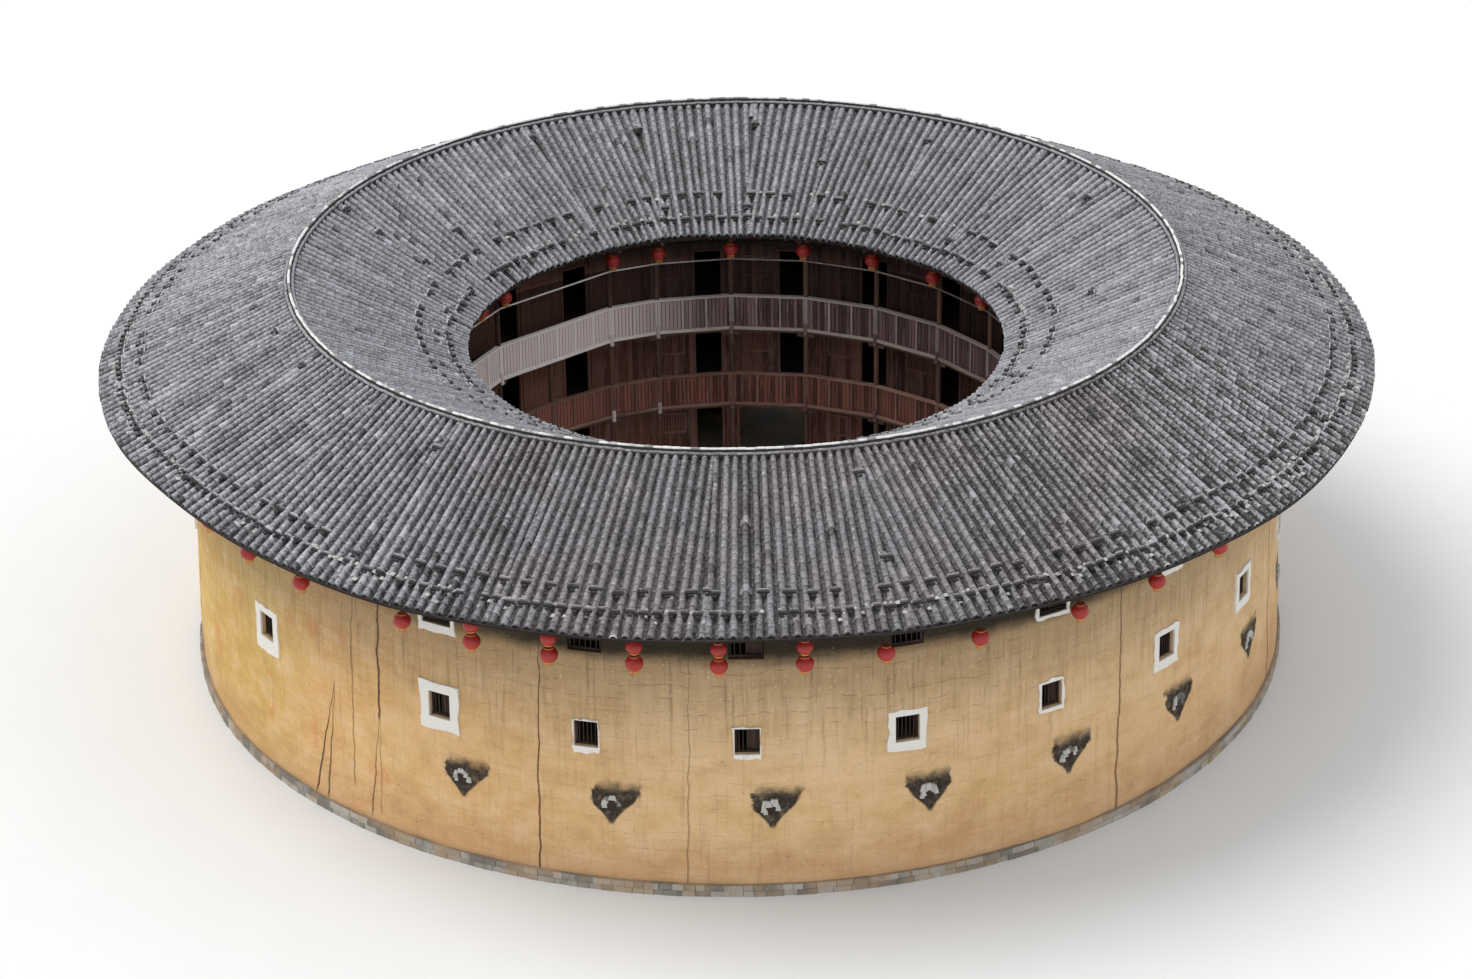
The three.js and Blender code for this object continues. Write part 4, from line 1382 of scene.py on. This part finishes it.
# Lanterns in view under the outer eave, single and in pairs, by bearing, and how many hang behind
LANTERN_RADIUS = 0.25
LANTERN_HEIGHT = 0.38
SINGLE_LANTERNS = (-60.6, -52.7, -44.5, -32.0, 13.0, 21.9, 32.3, 41.7, 51.0, 60.4)
DOUBLE_LANTERNS = (-24.7, -17.2, -9.4, -1.9, 5.7)
LANTERNS_BEHIND = 27
OUTER_LANTERN_RING = 17.2
INNER_LANTERN_RING = 8.9

# Heights of lanterns, the drop to a pair's lower one, the hooks over the gallery, and the cords' radius
SINGLE_HEIGHT = 7.62
UPPER_HEIGHT = 8.02
GALLERY_HEIGHT = 8.47
PAIR_DROP = 0.5
GALLERY_HOOK = 8.96
CORD_RADIUS = 0.008

# The inner lantern of this room's first edge hangs clear of its post, at this bearing
LOOSE_LANTERN_ROOM = 18
LOOSE_LANTERN = 242.6


def build_lanterns():
    """Lanterns on cords: round the outer wall, and one at each post of the top gallery."""
    red, gold, cords = Shape(), Shape(), Shape()

    def add_cord(ring, turn, foot, top):
        cords.lathe(place(ring, turn, foot), [(CORD_RADIUS, 0.0), (CORD_RADIUS, top - foot)], 5, 0.2)

    behind = np.linspace(SINGLE_LANTERNS[-1], SINGLE_LANTERNS[0] + 360, LANTERNS_BEHIND + 2)[1:-1]
    under_rafters = OUTER_SLOPE.top(OUTER_LANTERN_RING) - 0.19
    for turn in (*DOUBLE_LANTERNS, *SINGLE_LANTERNS, *behind):
        double = turn in DOUBLE_LANTERNS
        height = UPPER_HEIGHT if double else SINGLE_HEIGHT
        add_lantern(red, gold, place(OUTER_LANTERN_RING, turn, height), 0.92 if double else 1.0, not double)
        hook = settled(place(OUTER_LANTERN_RING, turn, under_rafters))[2]
        add_cord(OUTER_LANTERN_RING, turn, height + 0.2, hook)
        if double:
            add_lantern(red, gold, place(OUTER_LANTERN_RING, turn, height - PAIR_DROP), 1.0, True)
    for turn in np.where(top_edges == room_bays[LOOSE_LANTERN_ROOM][0], LOOSE_LANTERN, top_edges):
        add_lantern(red, gold, place(INNER_LANTERN_RING, turn, GALLERY_HEIGHT), 0.95, True)
        add_cord(INNER_LANTERN_RING, turn, GALLERY_HEIGHT + 0.13, GALLERY_HOOK)
    red.build("lanterns", red_cloth, "red_fabric", smooth=True)
    gold.build("lantern_fringes", gold_cloth, "red_fabric")
    cords.build("lantern_cords", dark_timber, "dark_timber")


def add_lantern(red, gold, centre, size, fringed):
    """A squat ribbed lantern with a collar above and below, and a short fringe."""
    share = np.linspace(-0.5, 0.5, 9)
    girth = LANTERN_RADIUS * np.cos(share * 2.15) ** 0.75
    profile = np.stack([girth * size, share * LANTERN_HEIGHT * size], -1)
    red.lathe(centre, profile, 28, rng.uniform(0.7, 1.0), ribs=-0.05)
    half = LANTERN_HEIGHT / 2 * size
    collar = LANTERN_RADIUS * 0.52 * size
    for low, high, tone in ((-half - 0.035, -half + 0.01, 0.8), (half - 0.01, half + 0.035, -0.5)):
        gold.lathe(centre, [(collar, low), (collar * 1.04, (low + high) / 2), (collar, high)], 16, tone)
    if fringed:
        reach, threads = collar * 0.8, 18
        for turn in np.arange(threads) * 2 * np.pi / threads:
            foot = centre + np.array([reach * math.sin(turn), reach * math.cos(turn), -half - 0.13 * size])
            gold.lathe(foot, [(0.012, 0.0), (0.009, 0.1 * size)], 4, rng.uniform(0.4, 1.0))


def dress_cad_nodes():
    """The CAD nodes that stay in view get their finish."""
    for name, material in (
        ("gate_surround", stone),
        ("ground_floor", stone),
        ("floor_second", dark_timber),
        ("floor_third", dark_timber),
    ):
        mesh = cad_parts[name].data
        mesh.materials.clear()
        mesh.materials.append(material)


def build_stage():
    """A plain pale floor under soft light."""
    half = 400
    mesh = bpy.data.meshes.new("floor")
    corners = [(x, y, 0) for x, y in rectangle(-half, half, -half, half)]
    mesh.from_pydata(corners, [], [(0, 1, 2, 3)])
    g = Surface("studio_floor")
    colour = g.here.noise(0.5, 3).mix((0.7, 0.7, 0.69), (0.73, 0.73, 0.72))
    mesh.materials.append(g.finish(colour, 0.9))
    floor = add_object("floor", mesh)
    floor.location.z = -0.001

    world = bpy.data.worlds.new("studio")
    world.use_nodes = True
    feed(world.node_tree.nodes["Background"].inputs["Color"], (0.93, 0.96, 1.0))
    bpy.context.scene.world = world

    sun = bpy.data.lights.new("sky_light", "SUN")
    sun.energy = 1.9
    sun.angle = math.radians(40)
    sun.color = (1.0, 0.98, 0.95)
    towards_sun = Vector((-0.55, 0.1, 1.0))
    add_object("sky_light", sun).rotation_euler = towards_sun.to_track_quat("Z", "Y").to_euler()


def build_camera():
    """The camera that was solved from the photograph, closed in on the house."""
    position = Vector((0.0, -110.84, 58.92))
    target = Vector((-0.064, 0.0, 4.233))
    roll = math.radians(-0.7575)
    data = bpy.data.cameras.new("camera")
    data.lens = 98.77
    data.sensor_width = 36
    data.clip_end = 2000
    camera = add_object("camera", data)
    look = (target - position).to_track_quat("-Z", "Y").to_matrix().to_4x4()
    camera.matrix_world = Matrix.Translation(position) @ look @ Matrix.Rotation(roll, 4, "Z")
    bpy.context.scene.camera = camera


bpy.context.scene.view_settings.view_transform = "Standard"
build_camera()
build_stage()
build_roof_slope(OUTER_SLOPE)
build_roof_slope(INNER_SLOPE)
build_roof_boards()
build_rafters()
build_ridge()
build_tile_weights()
build_wall()
build_surrounds()
build_vents()
build_footing()
build_galleries()
build_floor_edges()
build_room_fronts()
build_eave_frames()
build_lanterns()
dress_cad_nodes()
